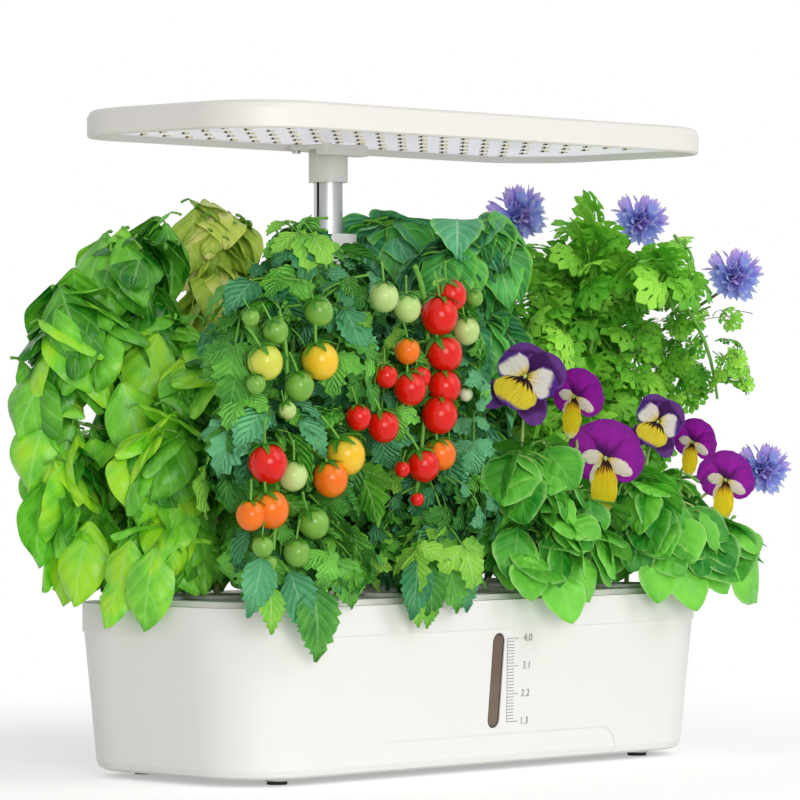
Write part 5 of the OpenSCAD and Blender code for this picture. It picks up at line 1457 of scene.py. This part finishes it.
class GARDEN_OT_blue_flowers(bpy.types.Operator):
    """Grows the blue flowers: ragged trumpet petals round a dark heart, on long wiry stalks."""

    bl_idname = "garden.blue_flowers"
    bl_label = "Blue flowers"

    def execute(self, context):
        look = context.scene.garden_plants
        rng = random.Random(look.seed + 5)
        needle = leaf_surface("leaf_cornflower_grown", "#2E6E1E", "#7FB83E", "#BBDD8E", 5.0, 0.5, 0.4)
        colours = [
            petal_surface("petal_cornflower_blue", "#8A94F4", "#B2C0FF", "#DCE4FF", edge_from=0.86),
            petal_surface("petal_cornflower_lilac", "#9A84EA", "#C8B4FA", "#E6CFFA", edge_from=0.86)]
        heart = petal_surface("petal_cornflower_heart", "#241650", "#4A3488", "#8A62B8")
        wide = look.blue / MM
        florets, rays_each, stamens = [], 6, 12
        for made in colours:
            rays = [stalk("floret_tube", [(0, 0, 0), (0, 3.5, 0), (0, 7, 0)], [0.45, 0.7, 1.3], made, 0)]
            for k in range(rays_each):
                turn = 2 * math.pi * k / rays_each + rng.uniform(-0.15, 0.15)
                ray = blade("ray", 11.0 * rng.uniform(0.85, 1.15), scaled(RAY, 2.5), made, 2, 0.4, 0.0,
                            rng.uniform(-35, 15), 0.3)
                out = (0.62 * math.cos(turn), 1, 0.62 * math.sin(turn))
                rays.append(placed(ray, aim((0.7 * math.cos(turn), 6, 0.7 * math.sin(turn)), out,
                                            (-math.cos(turn), 0.4, -math.sin(turn)))))
            florets.append(join(rays, "floret"))
        parts = []
        for count, lift, size, lean in ((9, 0.2, 1.12, 0.0), (7, 0.9, 1.0, 0.4), (3, 2.4, 0.85, 0.2)):
            for k in range(count):
                turn = 2 * math.pi * (k + lean + rng.uniform(-0.25, 0.25)) / count
                out = (math.cos(turn), math.sin(turn), lift + rng.uniform(-0.15, 0.35))
                parts.append(copy_of(florets[rng.random() < 0.35], aim((0, 0, 1), out, (0, 0, 1),
                                     size * wide / 35 * rng.uniform(0.85, 1.1), rng.uniform(-0.8, 0.8))))
        for floret in florets:
            bpy.data.objects.remove(floret)
        for k in range(stamens):
            turn = 2 * math.pi * (k + rng.uniform(-0.2, 0.2)) / stamens
            stamen = blade("stamen", 13, [0.3, 0.35, 0.5, 0.7, 0.2], heart, 2, 0.1)
            out = (math.cos(turn), math.sin(turn), rng.uniform(1.0, 3.0))
            parts.append(placed(stamen, aim((0, 0, 1), out, (0, 0, 1))))
        cup = stalk("calyx", [(0, 0, -7), (0, 0, -5), (0, 0, -1), (0, 0, 1)], [1.2, 3.0, 2.8, 1.6],
                    stems()["dark"], 2)
        bloom = keep_template(join(parts + [cup], "cornflower"))
        leaf = blade("needle_leaf", 46, scaled(LANCE, 2.4), needle, 2, 0.8, 0.0, 20, 0.3)
        leaf = with_petiole(leaf, 8, 0.6, stems()["green"])
        short = blade("needle_short", 30, scaled(LANCE, 5.0), needle, 4, 1.0, 0.0, 45, 0.5, 0.8)
        short = with_petiole(short, 8, 0.6, stems()["green"])
        cell = cell_of(COLUMN_SPLIT, 252, ROW_SPLIT, BACK)
        masses = at_pod("d3", BLUE_LEAVES)
        gap = 14 / math.sqrt(look.fullness)
        copies = leafy(rng, masses, cell, [leaf, short, short], gap, (0.7, 1.1), (-10, 55), (0.2, 0.85))
        right = cell_of(235, 262, FRONT, 24)
        for at, along, size in (
                ((243, -20, 262), (0.9, -0.9, 0.5), 0.55), ((244, -40, 270), (0.8, -0.6, 0.1), 0.5),
                ((243, -5, 256), (0.6, -0.2, -0.8), 0.6), ((244, -50, 174), (0.8, -0.9, 0.1), 0.45),
                ((244, 12, 290), (0.5, 0.1, 1.0), 0.5)):
            copies.append(leaf_at(leaf, at, along, (0, 0, 1), size, 0.5, right))
        routes = [(1.0, [(0, 4, 150), (0, -2, 200), (0, -12, 216)]),
                  (0.95, [(40, 6, 130), (80, -6, 180), (96, -28, 214)]),
                  (0.95, [(44, 6, 110), (96, -20, 140), (96, -70, 166), (92, -108, 180)]),
                  (0.9, [(26, 8, 62), (98, -20, 60), (98, -90, 64), (86, -136, 62)])]
        extras = stem_to("d3", masses, stems()["dark"], 1.8)
        for at, (size, route) in zip(BLOOM_PLACES, routes):
            facing = Vector((-0.5, -0.56, 0.66))
            spin = aim(at, (0, 0.3, 1), facing, size) @ Matrix.Rotation(rng.uniform(0, ANY_TURN), 4, "Z")
            copies.append((bloom, spin, 0.5))
            route = [(POD_X["d"] + p[0], POD_Y["3"] + p[1], POD_TOP + p[2]) for p in route]
            route[-1] = tuple(Vector(at) - facing.normalized() * 6 * size)
            extras.append(stalk("flower_stalk", route, [1.2] * (len(route) - 1) + [0.9],
                                stems()["dark"]))
        grow("cornflower_plant", copies, "deck", ["blue_flowers"], extras)
        return {"FINISHED"}


# ------------------------------------------------------------------ stage


# The camera in metres and degrees, the point that the lamps look at, and how much the floor near the
# tank is lifted towards white
CAMERA_PLACE = (-1.94515, -1.884, 0.20658)
CAMERA_TURN = (90.16, 0.0, -45.947)
LAMPS_LOOK_AT = Vector((0, 0, 0.2))
FLOOR_LIFT = 0.37


def soft_lamp(place, size, power):
    """A round area light in metres and watts that looks at the planting."""
    deselect()
    bpy.ops.object.light_add(type="AREA", location=place)
    lamp = bpy.context.object
    lamp.rotation_euler = (LAMPS_LOOK_AT - lamp.location).to_track_quat("-Z", "Y").to_euler()
    lamp.data.shape = "DISK"
    lamp.data.size = size
    lamp.data.energy = power


class GARDEN_OT_stage(bpy.types.Operator):
    """Sets the camera, the soft studio light and the pale floor."""

    bl_idname = "garden.stage"
    bl_label = "Stage"

    def execute(self, context):
        look = context.scene.garden_stage
        scene = context.scene
        scene.view_settings.view_transform = "Standard"
        deselect()
        bpy.ops.object.camera_add(location=CAMERA_PLACE, rotation=[math.radians(a) for a in CAMERA_TURN])
        scene.camera = context.object
        camera = context.object.data
        camera.lens = look.lens
        camera.sensor_width = 36.0
        camera.clip_end = 50

        world = bpy.data.worlds.new("studio_white")
        world.use_nodes = True
        tree = world.node_tree
        tree.nodes.clear()
        level = remap(tree, seen_rays(tree), 0.0, 1.0, look.sky, 1.0, smooth=False)
        sky = add(tree, "ShaderNodeBackground", {"Color": (1, 1, 1, 1), "Strength": level})
        add(tree, "ShaderNodeOutputWorld", {"Surface": sky.outputs[0]})
        scene.world = world
        soft_lamp((0.95, -2.7, 2.0), 2.2, look.key)
        soft_lamp((-1.7, -2.7, 0.55), 1.6, look.fill)

        deselect()
        bpy.ops.mesh.primitive_circle_add(vertices=96, radius=look.floor, fill_type="NGON",
                                          location=(0, 0, -0.0002))
        floor = context.object
        bpy.ops.object.mode_set(mode="EDIT")
        bpy.ops.mesh.inset(thickness=look.floor * 0.5)
        bpy.ops.object.mode_set(mode="OBJECT")
        # seamless paper: matt white that keeps a soft shadow near the tank and is plain white farther off
        paper, tree = bare_material("paper_seamless_white")
        fade = remap(tree, distance(tree, object_place(tree)), 0.30, 0.75)
        seen = seen_rays(tree)
        matt = add(tree, "ShaderNodeBsdfDiffuse", {"Color": (0.9, 0.9, 0.9, 1)})
        lift = maths(tree, "MULTIPLY", seen, FLOOR_LIFT)
        glow = add(tree, "ShaderNodeEmission", {"Color": (1, 1, 1, 1), "Strength": lift})
        near = add(tree, "ShaderNodeAddShader", {0: matt.outputs[0], 1: glow.outputs[0]})
        white = add(tree, "ShaderNodeEmission", {"Color": (1, 1, 1, 1), "Strength": 1.0})
        gate = maths(tree, "MULTIPLY", fade, seen)
        both = add(tree, "ShaderNodeMixShader", {0: gate, 1: near.outputs[0], 2: white.outputs[0]})
        add(tree, "ShaderNodeOutputMaterial", {"Surface": both.outputs[0]})
        floor.data.materials.append(paper)
        floor.name = "floor"
        return {"FINISHED"}


# ------------------------------------------------------------------ panel and run

STEPS = ("garden.body", "garden.scale", "garden.chips", "garden.tomatoes", "garden.basils",
         "garden.broad_leaves", "garden.pansies", "garden.parsley", "garden.blue_flowers", "garden.stage")


class GARDEN_PT_panel(bpy.types.Panel):
    """Lists the steps that dress the garden."""

    bl_label = "Hydroponic garden"
    bl_space_type = "VIEW_3D"
    bl_region_type = "UI"
    bl_category = "Garden"

    def draw(self, context):
        column = self.layout.column()
        for settings in ("garden_body", "garden_plants", "garden_stage"):
            group = getattr(context.scene, settings)
            for key in group.__annotations__:
                column.prop(group, key)
        for step in STEPS:
            column.operator(step)


CLASSES = (GardenBodySettings, GardenPlantSettings, GardenStageSettings, GARDEN_OT_body, GARDEN_OT_scale,
           GARDEN_OT_chips, GARDEN_OT_tomatoes, GARDEN_OT_basils, GARDEN_OT_broad_leaves, GARDEN_OT_pansies,
           GARDEN_OT_parsley, GARDEN_OT_blue_flowers, GARDEN_OT_stage, GARDEN_PT_panel)


def register():
    for made in CLASSES:
        bpy.utils.register_class(made)
    bpy.types.Scene.garden_body = bpy.props.PointerProperty(type=GardenBodySettings)
    bpy.types.Scene.garden_plants = bpy.props.PointerProperty(type=GardenPlantSettings)
    bpy.types.Scene.garden_stage = bpy.props.PointerProperty(type=GardenStageSettings)


def unregister():
    del bpy.types.Scene.garden_stage
    del bpy.types.Scene.garden_plants
    del bpy.types.Scene.garden_body
    for made in reversed(CLASSES):
        bpy.utils.unregister_class(made)


def main():
    register()
    deselect()
    for step in STEPS:
        area, name = step.split(".")
        getattr(getattr(bpy.ops, area), name)()
    for mesh in [m for m in bpy.data.meshes if m.use_fake_user]:
        bpy.data.meshes.remove(mesh)


if __name__ == "__main__":
    main()
